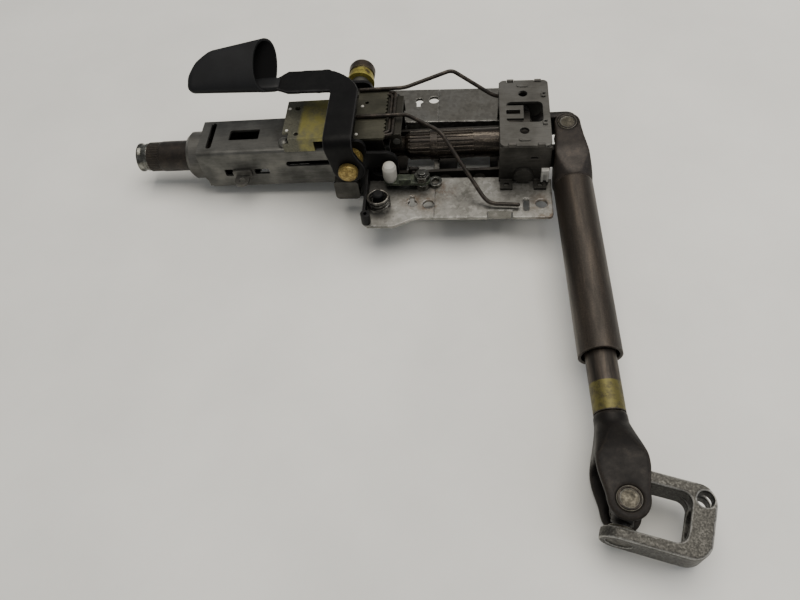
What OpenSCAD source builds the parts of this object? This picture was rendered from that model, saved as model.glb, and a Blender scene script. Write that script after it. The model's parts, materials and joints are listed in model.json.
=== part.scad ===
/* [Mounting bracket] */
// Bolt spacing along the column
bolt_dx = 82; // [70:1:84]
// Bolt spacing across the column
bolt_dy = 115; // [108:1:120]
// Bolt hole diameter
bolt_hole_d = 8.5; // [6:0.1:9]
// Sheet thickness of the wings and the trough
wing_t = 2.5; // [2:0.1:3]
// Half width over the wings
wing_half = 70.5; // [68:0.5:74]
// Half width of the trough, outside
trough_half = 33.5; // [32.5:0.1:35]
// Depth of the trough below the mounting face
trough_depth = 23.5; // [22:0.1:26]
// Left end of the wings, from the bolt centre
wing_left = 88; // [84:1:92]
// Right end of the wings, from the bolt centre
wing_right = 49; // [48:0.1:49.3]
// Left end of the trough, from the bolt centre
trough_left = 63; // [58:1:63]

/* [Bearing box] */
// Left end of the box
box_x0 = 10.5; // [9:0.1:11]
// Right end of the box
box_x1 = 47; // [44:0.1:47.5]
// Half width over the box sides
box_half = 35.3; // [34.8:0.1:37]
// Height of the box cover above the mounting face
box_top = 38; // [37:0.1:42]
// Sheet thickness of the box
box_t = 2; // [1.5:0.1:2.2]

/* [Column layout] */
// Rake pivot, along the column from the bolt centre
pivot_x = 28; // [26:0.1:30]
// Rake pivot, above the mounting face
pivot_z = 9.6; // [9:0.1:11]
// Slope of the column, wheel end down
rake_rest = 2.2; // [1.8:0.1:2.5]
// Turn of the shaft that lets the intermediate shaft lie low
shaft_roll = 4; // [3:0.1:5]
// Upper universal joint, from the rake pivot
joint_u = 33; // [32.6:0.1:36]
// Distance between the universal joints
joint_span = 277; // [265:1:300]
// Lean of the folded intermediate shaft
tube_lean = 3.2; // [3:0.1:5]
// Fold of the lower universal joint
clamp_fold = 71.8; // [60:0.1:76]

/* [Upper column] */
// Wheel end of the shaft, from the rake pivot
wheel_end_u = -306; // [-320:1:-300]
// Half width of the upper housing
housing_half = 19.3; // [19:0.1:19.6]
// Half height of the upper housing
housing_half_h = 18.5; // [18.2:0.1:18.8]
// Left end of the upper housing
housing_u0 = -250; // [-256:1:-244]
// Right end of the upper housing
housing_u1 = -98; // [-104:1:-96]
// Sheet thickness of the upper housing
housing_t = 2.2; // [1.8:0.1:2.4]
// Half width of the lock hat
hat_half = 21; // [20.6:0.1:21.3]
// Height of the lock hat above the housing
hat_h = 13; // [12.5:0.1:13.4]
// Reach travel each way
reach = 24; // [18:1:24]

/* [Guide and clamp] */
// Half width inside the guide channel
guide_in = 21.6; // [21.6:0.1:22]
// Wall of the guide channel
guide_t = 2.4; // [2:0.1:2.6]
// Left end of the guide channel
guide_u0 = -143; // [-148:1:-140]
// Clamp bolt, along the column from the rake pivot
bolt_u = -125.2; // [-127:0.1:-124]
// Clamp bolt, above the column axis
bolt_w = 23.2; // [23:0.1:23.6]
// Radius of the clamp bolt
clamp_r = 4; // [3.5:0.1:4.2]
// Front face of the strap's leg, from the column's middle plane
strap_front = 47.5; // [47:0.1:49]
// Height of the strap's bow above the clamp bolt
strap_rise = 24.5; // [24:0.1:27]
// Thickness of the strap
strap_t = 3; // [2.5:0.1:3.4]

/* [Shafts] */
// Radius of the wheel shaft
shaft_r = 12; // [11.5:0.1:12.4]
// Radius of the wheel spline over its teeth
spline_r = 11.6; // [11:0.1:11.8]
// Tapping radius of the wheel bolt's thread
thread_r = 7.25; // [6:0.05:7.5]
// Radius of the ribbed shaft
rib_r = 11; // [10.4:0.1:11.2]
// Radius of the sliding shaft inside the wheel shaft
slide_r = 7.5; // [7:0.1:8]
// Outer radius of the intermediate tube
tube_r = 14; // [13.4:0.1:14.2]
// Wall of the intermediate tube
tube_t = 2; // [1.5:0.1:2.5]
// Length of the intermediate tube
tube_len = 137; // [125:1:145]
// Radius of the inner intermediate shaft
inner_r = 9.8; // [9:0.1:10]

/* [Universal joints] */
// Radius of the bearing cups
cup_r = 7; // [6.5:0.1:7.3]
// Radius of the cross trunnions
trunnion_r = 4.6; // [4.2:0.1:4.9]
// Half gap between a fork's ears
fork_gap = 13.5; // [13.3:0.1:14]
// Thickness of a fork's ears
ear_t = 5.5; // [5:0.1:6]
// Radius of the upper joint's ears
ear_r = 9.5; // [9:0.1:9.7]
// Radius of the lower yoke's ears
yoke_ear_r = 11.8; // [11:0.1:12]
// Half gap between the clamp fork's arms
clamp_gap = 14; // [13.8:0.1:14.3]
// Half width over the clamp fork's arms
clamp_half = 21; // [20.5:0.1:21.4]
// Length of the clamp fork from the joint
clamp_len = 46; // [44:0.5:50]
// Radius of the pinion bore in the clamp fork
pinion_r = 8.2; // [7.5:0.1:8.4]

/* [Hidden] */
$fn = 64;
run = 0.06;      // running clearance of pins and shafts, on the radius
clear = 0.3;     // clearance between moving faces
seat = 0.02;     // clearance of pressed seats, on the radius
bearing_w = 9;
journal_r = 10;
bearing_ro = 18.5;
hub_r = 22;
collar_ro = 18.4;
collar_len = 12;
upper_seat_r = 11;
upper_bearing_ro = 16.6;
shaft_tube_r = 10.6;
end_r = 9.4;
shaft_tube_end = -114;
bush_u = housing_u1 - 28;
bush_len = 10;
rib_u0 = -86;
rib_u1 = -14;
fork_seat_r = 9;
fork_seat_end = 13;
slide_u0 = -170;
guide_floor = housing_half_h + 2.1;
cheek_in = trough_half - wing_t;
hat_t = 2;
hat_u0 = -178;
hat_u1 = -88;
rod_r = 2.75;
rod_u = hat_u1 - 3.6;
rod_w = housing_half_h + 6;
hat_top = housing_half_h + hat_h;
cheek_top = hat_top + 0.5;
slot_u0 = bolt_u - reach - clamp_r - 1;
slot_u1 = bolt_u + reach + clamp_r + 1;
strap_in = strap_front - strap_t - 0.5;
fixed_cam_y = trough_half + 5;
nut_y = trough_half + 14.5;
throat = 26;
column_throat = 19;
tube_start = 46;
tube_end = tube_start + tube_len;
yoke_neck = 55;
neck_r = 10.2;
shoulder_r = 14.8;
inner_start = tube_end - 87;
cup_out = fork_gap + ear_t;
clamp_h = 11;
clamp_cavity = 33;
wire_r = 1.5;
hook_y = box_half - 5;
hook_z = 27.2;
bridge_t = 2;
bridge_half = 27;
wire_w = cheek_top + bridge_t + wire_r + 0.1;
pawl_x = -46;
pawl_y = -39.4;
pawl_z = 8;
pawl_t = 2.5;
spring_xy = [-wing_left + 10.8, -wing_half + 11.5];
paddle_tilt = 30;
paddle_u = -185;
paddle_y = 12;
paddle_w = bolt_w + strap_rise + 1.1;
tang_u = paddle_u - 34;
tang_y0 = 17;
tang_y1 = 22.5;
strap_rear = 33;
lug_end = 30;
pin_r = 4;

// Frames: the sloping column, its turned shaft, the folded tube and the clamp fork
module column() translate([pivot_x, 0, pivot_z]) rotate([0, -rake_rest, 0]) children();
module turned_shaft() column() rotate([shaft_roll, 0, 0]) children();
module folded_tube() turned_shaft() translate([joint_u, 0, 0]) rotate([0, 0, tube_lean - 90]) children();
module lower_joint() folded_tube() translate([joint_span, 0, 0]) children();
module clamp_frame() lower_joint() rotate([0, 0, clamp_fold]) children();

// Building shapes
module bar_x(r, x0, x1) translate([x0, 0, 0]) rotate([0, 90, 0]) cylinder(r = r, h = x1 - x0);
module bar_y(r, y0, y1) translate([0, y0, 0]) rotate([-90, 0, 0]) cylinder(r = r, h = y1 - y0);
module plate_y(y0, y1) translate([0, y1, 0]) rotate([90, 0, 0]) linear_extrude(y1 - y0) children();
module plate_x(x0, x1) translate([x0, 0, 0]) rotate([90, 0, 90]) linear_extrude(x1 - x0) children();
module plate_z(z0, z1) translate([0, 0, z0]) linear_extrude(z1 - z0) children();
module box(x0, x1, y0, y1, z0, z1) translate([x0, y0, z0]) cube([x1 - x0, y1 - y0, z1 - z0]);
module turned(points) rotate([0, 90, 0]) rotate_extrude($fn = 96) polygon(points);
module ring_x(ri, ro, x0, x1) turned([[ri, x0], [ro, x0], [ro, x1], [ri, x1]]);
module both_sides() for (s = [0, 1]) mirror([0, s, 0]) children();
module round_rect(x0, x1, y0, y1, r) {
    translate([x0 + r, y0]) square([x1 - x0 - 2 * r, y1 - y0]);
    translate([x0, y0 + r]) square([x1 - x0, y1 - y0 - 2 * r]);
    for (x = [x0 + r, x1 - r], y = [y0 + r, y1 - r]) translate([x, y]) circle(r);
}
// Slot outline from one point to another, with round ends
module slot_2d(p, q, r) {
    along = q - p;
    translate(p) circle(r);
    translate(q) circle(r);
    translate(p) rotate(atan2(along[1], along[0])) translate([0, -r]) square([norm(along), 2 * r]);
}

// Swept round wire: rings of a few sides carried along a list of points
function unit(v) = v / norm(v);
function tangent(p, i) = unit(p[min(i + 1, len(p) - 1)] - p[max(i - 1, 0)]);
function across(t) = unit(cross(t, abs(t[2]) < 0.9 ? [0, 0, 1] : [0, 1, 0]));
function ring_points(p, i, r, n) =
    let (t = tangent(p, i), a = across(t), b = cross(t, a))
    [for (k = [0 : n - 1]) p[i] + r * (cos(360 * k / n) * a + sin(360 * k / n) * b)];
module wire(path, r, n = 8) {
    rings = [for (i = [0 : len(path) - 1]) each ring_points(path, i, r, n)];
    walls = [for (i = [0 : len(path) - 2], k = [0 : n - 1])
        let (k2 = (k + 1) % n) each
        [[i * n + k, i * n + k2, (i + 1) * n + k2], [i * n + k, (i + 1) * n + k2, (i + 1) * n + k]]];
    first_cap = [[for (k = [n - 1 : -1 : 0]) k]];
    last_cap = [[for (k = [0 : n - 1]) (len(path) - 1) * n + k]];
    polyhedron(rings, concat(walls, first_cap, last_cap));
}
// Round bends for a wire route: each inner corner becomes a short curve
function bend(p, q, s, cut) = let (a = q - cut * unit(q - p), b = q + cut * unit(s - q))
    [for (t = [0 : 0.25 : 1]) (1 - t) * (1 - t) * a + 2 * t * (1 - t) * q + t * t * b];
function rounded_route(p, cut) = concat([p[0]],
    [for (i = [1 : len(p) - 2]) each bend(p[i - 1], p[i], p[i + 1], cut)], [p[len(p) - 1]]);
// A world point in the sloping column's own coordinates
function in_column(p) = let (x = p[0] - pivot_x, z = p[2] - pivot_z)
    [x * cos(rake_rest) + z * sin(rake_rest), p[1], z * cos(rake_rest) - x * sin(rake_rest)];

// Ball bearing pieces about the X axis
module race_inner(ri, ro, x0) difference() {
    ring_x(ri, ri + 0.38 * (ro - ri) - 0.6, x0, x0 + bearing_w);
    race_groove(ri, ro, x0, 0.3);
}
module race_outer(ri, ro, x0) difference() {
    ring_x(ro - 0.38 * (ro - ri) + 0.6, ro, x0, x0 + bearing_w);
    race_groove(ri, ro, x0, 0.3);
}
module race_groove(ri, ro, x0, gap) translate([x0 + bearing_w / 2, 0, 0]) rotate([0, 90, 0])
    rotate_extrude($fn = 96) translate([(ri + ro) / 2, 0]) circle(0.28 * (ro - ri) + gap);
module balls(ri, ro, x0, count) for (k = [0 : count - 1]) translate([x0 + bearing_w / 2, 0, 0])
    rotate([360 * k / count, 0, 0]) translate([0, 0, (ri + ro) / 2]) sphere(0.28 * (ro - ri));

// Smooth run of points from one point to another: flat at both ends, like the flank of a forging
function flank(p, q) = [for (i = [0 : 6]) let (t = i / 6)
    [p[0] + (q[0] - p[0]) * t, p[1] + (q[1] - p[1]) * t * t * (3 - 2 * t)]];
// An outline that is the same on both sides of the X axis, from the points of its upper side
function mirrored(upper) = concat(upper, [for (i = [len(upper) - 1 : -1 : 0]) [upper[i][0], -upper[i][1]]]);

// Universal joint pieces: joint centre at the origin, pins along Y
module fork_blank(depth, tail, tail_half, ear, waist) intersection() {
    plate_z(-cup_out - 20, cup_out + 20) difference() {
        polygon(mirrored(concat([[ear + 1, cup_out]],
            flank([-depth + 3, cup_out], [-depth - tail, tail_half]))));
        translate([-depth + 5, -fork_gap]) square([depth + ear, 2 * fork_gap]);
        translate([-depth, -fork_gap + 5]) square([depth + ear, 2 * fork_gap - 10]);
        for (s = [-1, 1]) translate([-depth + 5, s * (fork_gap - 5)]) circle(5);
    }
    union() {
        bar_y(ear, -cup_out - 20, cup_out + 20);
        plate_y(-cup_out - 20, cup_out + 20) polygon(mirrored(waist));
    }
}
module cup_bore() bar_y(cup_r + seat, -cup_out - 30, cup_out + 30);
module cups(inner) both_sides() difference() {
    bar_y(cup_r, inner, cup_out - 0.6);
    bar_y(trunnion_r + run, inner - 1, cup_out - 2.6);
    translate([0, cup_out - 1.1, 0]) bar_y(cup_r - 2, 0, 2);
}
module cross_arms(tip) {
    bar_y(trunnion_r, -tip, tip);
    rotate([90, 0, 0]) bar_y(trunnion_r, -tip, tip);
    bar_y(trunnion_r + 1.6, -9.5, 9.5);
    rotate([90, 0, 0]) bar_y(trunnion_r + 1.6, -9.5, 9.5);
    sphere(8.6);
}

// Fixed bracket
module wing_plan(lobe) difference() {
    union() {
        round_rect(-wing_left, wing_right, -wing_half, -trough_half + 4, 3);
        if (lobe) translate([-wing_left, -wing_half])
            polygon([[0, 6], [0, -5], [3, -8], [22, -8], [38, 0], [38, 6]]);
    }
    for (s = [-1, 1]) translate([s * bolt_dx / 2, -bolt_dy / 2]) circle(d = bolt_hole_d);
    translate([-bolt_dx / 2 - 11.8, -bolt_dy / 2 + 1]) circle(3.4);
    translate([-bolt_dx / 2 - 14, -bolt_dy / 2 + 1]) square([3.2, 7]);
    slot_2d([bolt_dx / 2 - 11, -bolt_dy / 2 - 5], [bolt_dx / 2 - 11, -bolt_dy / 2 + 3], 2.2);
}
module trough_section() difference() {
    union() {
        round_rect(-trough_half, trough_half, -trough_depth, wing_t, 5);
        translate([-trough_half, -trough_depth + 5]) square([2 * trough_half, trough_depth - 5 + wing_t]);
        translate([-trough_half - 2, 0]) square([2 * trough_half + 4, wing_t]);
    }
    translate([0, 1]) round_rect(-cheek_in, cheek_in, -trough_depth + wing_t - 1, wing_t + 20, 3);
}
module mounting_bracket() color("gainsboro") {
    difference() {
        union() {
            for (s = [0, 1]) mirror([0, s, 0]) plate_z(0, wing_t) difference() {
                wing_plan(s == 0);
                translate([-200, -trough_half]) square([400, 40]);
                if (s == 0) translate([2, -wing_half - 1]) square([18, 7.5]);
            }
            plate_x(-trough_left, box_x1 - 3) trough_section();
            box(2.6, 19.4, -wing_half + 6.5, -wing_half + 6.5 + wing_t, -7, wing_t);
        }
        // Window in the trough's floor, and its open left end
        plate_z(-trough_depth - 1, -trough_depth + wing_t + 1) round_rect(-22, 14, -20, 20, 5);
        box(-trough_left - 1, -40, -cheek_in + 4, cheek_in - 4, -trough_depth - 1,
            -trough_depth + wing_t + 1);
        box(-trough_left - 1, -40, -trough_half - 1, trough_half + 1, -trough_depth - 1, -trough_depth + 6);
        // Crease across the rear wing and the front wing
        for (s = [-1, 1]) box(-37, -36.2, s * 52 - 19, s * 52 + 18, wing_t - 0.4, wing_t + 1);
    }
}
// Upright cheek with the rake slot for the clamp bolt
module cheek(flip) mirror([0, flip, 0]) difference() {
    plate_y(-trough_half, -cheek_in) difference() {
        union() {
            round_rect(-112, -trough_left - 0.5, -14, 31, 9);
            round_rect(-110.5, -86, 8, 43, 7);
            translate([-76, -14]) square([76 - trough_left - 0.02, 16.5]);
        }
        slot_2d(rake_point(-3.2), rake_point(2.7), clamp_r + 0.9);
        translate([-78, 13]) circle(5);
    }
}
// Where the clamp bolt goes when the column is raked by an angle
function rake_point(a) = let (s = rake_rest - a)
    [pivot_x + bolt_u * cos(s) - bolt_w * sin(s), pivot_z + bolt_u * sin(s) + bolt_w * cos(s)];
module front_cheek() color("#2b2b2d") cheek(0);
module rear_cheek() color("#2b2b2d") cheek(1);
module front_gusset() color("#3a3532") {
    plate_x(-wing_left, -wing_left + 2) polygon([[-trough_half, wing_t], [-trough_half, 15],
        [-46, 12.5], [-wing_half - 2, 11], [-wing_half - 2, wing_t]]);
    translate([-wing_left + 2.4, -wing_half - 4.2, wing_t]) difference() {
        cylinder(r = 3.4, h = 9.5);
        translate([0, 0, -1]) cylinder(r = 1.4, h = 12);
    }
}
module support_block() color("#b9b8b4") plate_y(-trough_half - 8.5, -trough_half)
    round_rect(-112.5, -94, -8, 10, 3);
// White plastic clip at the box's front right corner
module box_clip() color("#e6e4dc") difference() {
    box(box_x1 - 6, box_x1 - 0.5, -box_half - 3.4, -box_half, 5, 16);
    box(box_x1 - 4.4, box_x1 - 2.1, -box_half - 4, -box_half - 2, 4, 12);
}
module box_frame() color("#77787a") difference() {
    union() {
        both_sides() plate_y(-box_half, -box_half + box_t) difference() {
            union() {
                translate([box_x0, wing_t]) square([box_x1 - box_x0, box_top - box_t - wing_t]);
                for (x = [box_x0 + 6, box_x1 - 10]) translate([x, 20]) square([5, box_top - 20 + 1]);
            }
            translate([pivot_x, pivot_z]) circle(pin_r + seat);
            translate([pivot_x + 5, 25]) square([5, 1.8]);
        }
        both_sides() for (x = [box_x0 + 1, pivot_x + 8])
            box(x, x + 9, -box_half - 9, -box_half + 0.5, wing_t, wing_t + 2);
    }
    for (s = [-1, 1], x = [box_x0 + 5.5, pivot_x + 12.5]) translate([x, s * (box_half + 5), -1])
        cylinder(r = 2, h = 20);
}
module box_cover() color("#b4b4b2") {
    difference() {
        union() {
            plate_z(box_top - box_t, box_top) round_rect(box_x0, box_x1, -box_half, box_half, 4);
            box(box_x0, box_x0 + box_t, -box_half + box_t + 0.2, box_half - box_t - 0.2, 14, box_top - 1);
        }
        // Arched way for the shaft and the guide hub in the left face
        bar_x_at(pivot_x, pivot_z) bar_x(hub_r + 3.5, box_x0 - 40, box_x0);
        box(box_x0 - 1, box_x0 + box_t + 1, -26, 26, 10, pivot_z + 6);
        // Hook hole of the rear spring wire
        translate([0, hook_y, hook_z]) bar_x(wire_r + 1.8, box_x0 - 1, box_x0 + box_t + 1);
        plate_z(box_top - box_t - 1, box_top + 1) {
            difference() {
                round_rect(box_x0 + 5, box_x1 - 5, -11, 11, 4);
                for (y = [-7, 2.2]) translate([box_x0 + 4, y]) square([13, 4.8]);
                translate([box_x0 + 15, -7]) square([2.5, 14]);
            }
            for (s = [-1, 1]) translate([pivot_x, s * 20]) circle(3.4);
            for (s = [-1, 1], x = [box_x0 + 6, box_x1 - 10]) translate([x - 0.2, s * (box_half - 1) - 1.3])
                square([5.4, 2.6]);
        }
    }
    // Pressed obrounds beside the holes
    for (s = [-1, 1]) plate_z(box_top, box_top + 0.8)
        slot_2d([pivot_x - 2.4, s * 29], [pivot_x + 2.4, s * 29], 1.9);
    // Lanced loops near the right edge
    for (y = [-12, 18]) translate([box_x1 - 4, y, box_top]) difference() {
        box(-1.6, 1.6, -2.4, 2.4, 0, 1.4);
        box(-0.7, 2, -1.2, 1.2, -1, 2);
    }
}
module bar_x_at(x, z) translate([x, 0, z]) children();
module pivot_pins() color("#8d8a82") both_sides() translate([pivot_x, 0, pivot_z]) {
    bar_y(pin_r, -box_half - 1.2, -lug_end + 6.2);
    bar_y(7, -box_half + box_t, -lug_end - clear);
    bar_y(6.8, -box_half - 2.4, -box_half);
}
module spring_post() color("#4c4a48") translate([spring_xy[0], spring_xy[1], wing_t]) {
    cylinder(r = 5.2, h = 2.4);
    cylinder(r = 4, h = 13);
    translate([0, 0, 13]) cylinder(r1 = 4, r2 = 3, h = 1);
}
module coil_spring() color("#59554f") translate([spring_xy[0], spring_xy[1], wing_t]) {
    turns = 3;
    coil_r = 7.5;
    pitch = 3.2;
    wire([for (k = [0 : turns * 16]) [coil_r * cos(k * 22.5), coil_r * sin(k * 22.5), 1.2 + pitch * k / 16]],
        1.1);
}
module pawl_stud() color("#9a9992") translate([pawl_x, pawl_y, 0]) {
    translate([0, 0, wing_t]) cylinder(r = 5.5, h = pawl_z - wing_t - clear);
    translate([0, 0, wing_t]) cylinder(r = 3, h = 15);
    translate([0, 0, pawl_z + pawl_t + clear]) cylinder(r = 5.8, h = 4.4, $fn = 6);
    translate([9.5, 2.5, wing_t]) difference() {
        cylinder(r = 5, h = 3);
        translate([0, 0, -1]) cylinder(r = 3, h = 6);
    }
}
module pawl_tab() color("#6a5a48") plate_y(-trough_half, -trough_half + 2) difference() {
    round_rect(-56.5, -48.5, wing_t, 15, 2);
    translate([-52.5, 11]) circle(1.7);
}
module pawl_lever() color("#5c6656") translate([pawl_x, pawl_y, pawl_z]) difference() {
    union() {
        plate_z(0, pawl_t) union() {
            round_rect(-28.5, 6, -4.6, 4.6, 4);
            circle(5.2);
        }
        box(-17, -8, -4.6, -2.6, 0, 6);
    }
    translate([0, 0, -1]) cylinder(r = 3 + run, h = 10);
}
module buffer_cap() color("#e6e4dc") translate([pawl_x - 23.6, pawl_y, pawl_z + pawl_t])
    rotate_extrude() polygon([[0, 0], [4.4, 0], [4.4, 2], [5.2, 3], [5.2, 11.5], [4.2, 14.2], [2.4, 15.4],
        [0, 15.8]]);

// Tilting guide
module guide_side() polygon([[guide_u0, -guide_floor - guide_t], [guide_u0, cheek_top - 4],
    [guide_u0 + 4, cheek_top], [guide_u0 + 41, cheek_top], [guide_u0 + 45, -5], [-13, -5],
    [-13, -guide_floor - guide_t]]);
module guide_channel() color("#6f6e6b") column() difference() {
    union() {
        intersection() {
            plate_x(guide_u0, -13) difference() {
                translate([-guide_in - guide_t, -guide_floor - guide_t])
                    square([2 * (guide_in + guide_t), guide_floor + guide_t + cheek_top]);
                translate([0, 1]) round_rect(-guide_in, guide_in, -guide_floor - 1, cheek_top + 20, 2);
            }
            plate_y(-60, 60) guide_side();
        }
        bar_x(hub_r, -16, 6);
        box(-18, -12, -guide_in - guide_t, guide_in + guide_t, -guide_floor - guide_t, -5);
        both_sides() bar_y(7, -lug_end, -hub_r + 3);
    }
    bar_x(bearing_ro + seat, -10.2, 7);
    bar_x(bearing_ro - 3, -19, 7);
    both_sides() bar_y(pin_r + run, -lug_end - 1, -lug_end + 6.6);
    translate([bolt_u, 0, bolt_w]) bar_y(clamp_r + seat, -60, 60);
    // Lightening holes in the channel's walls and floor
    for (u = [-84, -58, -32]) translate([u, 0, -13]) bar_y(4.5, -60, 60);
    for (u = [-90, -50]) plate_z(-60, -guide_floor + 1) round_rect(u, u + 26, -12, 12, 4);
}
module slide_pads() color("#d8d6cc") column() {
    for (s = [-1, 1]) both_sides() for (w = [-11, 8])
        box(guide_u0 + (s > 0 ? 2 : 24), guide_u0 + (s > 0 ? 16 : 38), -guide_in, -housing_half - 0.1,
            w - 4, w + 4);
    for (s = [-1, 1])
        box(guide_u0 + 2, guide_u0 + 38, s * 11 - 5, s * 11 + 5, -guide_floor, -housing_half_h - 0.1);
}
module lower_bearing_outer() color("#c9c9c6") column() race_outer(journal_r, bearing_ro, -10);
module lower_bearing_balls() color("#dcdcdc") column() balls(journal_r, bearing_ro, -10, 10);
module bearing_ring() color("#55524d") column() difference() {
    ring_x(bearing_ro - 2.6, bearing_ro, -0.95, 0.3);
    translate([-2, -2.5, 0]) cube([4, 5, 30]);
}
module clamp_bolt() color("#c9a24a") column() translate([bolt_u, 0, bolt_w]) {
    bar_y(clamp_r, -strap_front - 1, 62);
    translate([0, -strap_front - clear, 0]) rotate([90, 0, 0]) rotate_extrude()
        polygon([[0, 0], [7.2, 0], [7.2, 3.4], [6.2, 4.6], [3, 5], [0, 5]]);
}
module clamp_spacers() color("#8a8880") column() translate([bolt_u, 0, bolt_w]) {
    both_sides() difference() {
        bar_y(8, -cheek_in + clear, -guide_in - guide_t);
        bar_y(clamp_r + seat, -60, 0);
    }
    difference() {
        union() {
            bar_y(11, trough_half + clear, trough_half + 2.5);
            bar_y(7.5, trough_half + 2.4, nut_y);
        }
        bar_y(clamp_r + seat, 0, 60);
    }
}
module fixed_cam() color("#a8853c") column() translate([bolt_u, 0, bolt_w]) difference() {
    bar_y(9.5, -fixed_cam_y, -trough_half - clear);
    bar_y(clamp_r + seat, -60, 0);
    for (k = [0 : 3]) rotate([0, 45 + 90 * k, 0]) translate([9.5, 0, 0]) bar_y(1.6, -60, -trough_half - 2);
}
module clamp_nut() color("#b99a3e") column() translate([bolt_u, nut_y, bolt_w]) difference() {
    rotate([-90, 0, 0]) rotate_extrude()
        polygon([[0, 0], [11, 0], [11, 2], [10.2, 2.6], [10.2, 7], [9.5, 7.6], [9.5, 9.4], [10.4, 10],
            [10.6, 16], [9.8, 18], [0, 18.6]]);
    bar_y(clamp_r + seat, -1, 14.5);
}
module spring_bridge() color("#a9a8a4") column() plate_z(cheek_top, cheek_top + bridge_t) difference() {
    round_rect(bolt_u + 3, bolt_u + 26, -bridge_half, bridge_half, 2);
    for (k = [-5 : 5]) translate([bolt_u + 26, k * 4]) rotate(45) square(2.2, center = true);
    translate([bolt_u + 10, 12]) circle(1.5);
}
module rear_spring_wire() color("#33302d") column() wire(rounded_route([
    [bolt_u + 4, bridge_half - 2, wire_w], [bolt_u + 38, bridge_half - 2, wire_w],
    in_column([-25, hook_y + 6.7, 47.5]), in_column([box_x0 - 3.5, hook_y, hook_z + 0.8]),
    in_column([box_x0 + 6, hook_y, hook_z - 0.6])], 4), wire_r);
module front_spring_wire() color("#33302d") column() wire(rounded_route([
    [bolt_u + 4, -5, wire_w], [bolt_u + 41, -5, wire_w], in_column([-32, -23, 41]),
    in_column([0, -57.5, 7.6]), in_column([5, -60.6, 5.9]), in_column([24, -61.6, 5.7])], 4), wire_r);

// Clamp lever
module strap_section() {
    rise = bolt_w + strap_rise;
    difference() {
        union() {
            round_rect(-strap_front, 0, 0, rise + strap_t, 8);
            translate([-20, rise - 4]) square([strap_rear + 20, 4 + strap_t]);
        }
        translate([-strap_in, -1]) square([80, rise - 6]);
        round_rect(-strap_in, 60, 10, rise, 5);
    }
}
module strap_side() translate([bolt_u, bolt_w]) {
    circle(12);
    polygon([[-14.8, strap_rise + strap_t + 1], [-14.8, strap_rise - 4], [-11.9, 1], [11.9, 1],
        [6.2, strap_rise - 9], [6.2, strap_rise + strap_t + 1]]);
}
// Plan of the strap's bow, its rear corner cut away in steps of a curve
module strap_plan() translate([bolt_u, 0])
    polygon([[-30, -60], [30, -60], [30, 6], [6, 9], [3.5, 15], [-1.5, 21.5], [-9, 28],
        [-18, strap_rear], [-30, strap_rear]]);
module lever_strap() color("#232426") column() difference() {
    union() {
        intersection() {
            plate_x(bolt_u - 40, bolt_u + 40) strap_section();
            plate_y(-60, 60) strap_side();
            plate_z(0, 80) strap_plan();
        }
        plate_z(bolt_w + strap_rise, bolt_w + strap_rise + strap_t) {
            polygon([[paddle_u + 2, tang_y0 - 3], [paddle_u + 12, 9], [bolt_u - 10, 8], [bolt_u - 10, 26],
                [bolt_u - 18, strap_rear], [paddle_u + 10, strap_rear], [paddle_u + 2, tang_y1 + 4]]);
            translate([tang_u, tang_y0]) square([paddle_u + 3 - tang_u, tang_y1 - tang_y0]);
        }
        box(paddle_u + 12, bolt_u - 18, strap_rear - 2.5, strap_rear, bolt_w + strap_rise - 4,
            bolt_w + strap_rise + 0.5);
    }
    translate([bolt_u, 0, bolt_w]) bar_y(clamp_r + run, -60, 60);
}
module moving_cam() color("#8c6f34") column() translate([bolt_u, 0, bolt_w]) difference() {
    bar_y(9.5, -strap_in, -fixed_cam_y - clear);
    bar_y(clamp_r + run, -60, 0);
}
module paddle_form(shrink, stretch) {
    fall = 4.8 - shrink;
    hull() {
        translate([stretch, 7.4, 0]) sphere(7.4 - shrink, $fn = 32);
        translate([stretch, 36, 0]) sphere(7.4 - shrink, $fn = 32);
        for (p = [[-61.8, 7.2], [-61.6, 12.5], [-56.5, 22.5], [-47.5, 29.8]])
            translate([p[0], p[1], 0]) sphere(fall, $fn = 32);
    }
}
module lever_paddle() color("#3a3c3f") column()
    translate([paddle_u, paddle_y, paddle_w]) rotate([paddle_tilt, 0, 0]) difference() {
        paddle_form(0, 0);
        intersection() {
            paddle_form(2.2, 20);
            box(-24, 30, -20, 80, -20, 20);
        }
        // Mouth cut on a slant, so that the upper wall ends short of the lower one
        plate_y(-20, 80) polygon([[14.3, -20], [60, -20], [60, 20], [-26.3, 20]]);
        // Seat of the strap's tang
        rotate([-paddle_tilt, 0, 0]) translate([-paddle_u, -paddle_y, -paddle_w])
            box(tang_u - 0.1, paddle_u + 20, tang_y0 - 0.05, tang_y1 + 0.05, bolt_w + strap_rise - 0.05,
                bolt_w + strap_rise + strap_t + 0.05);
    }

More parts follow.
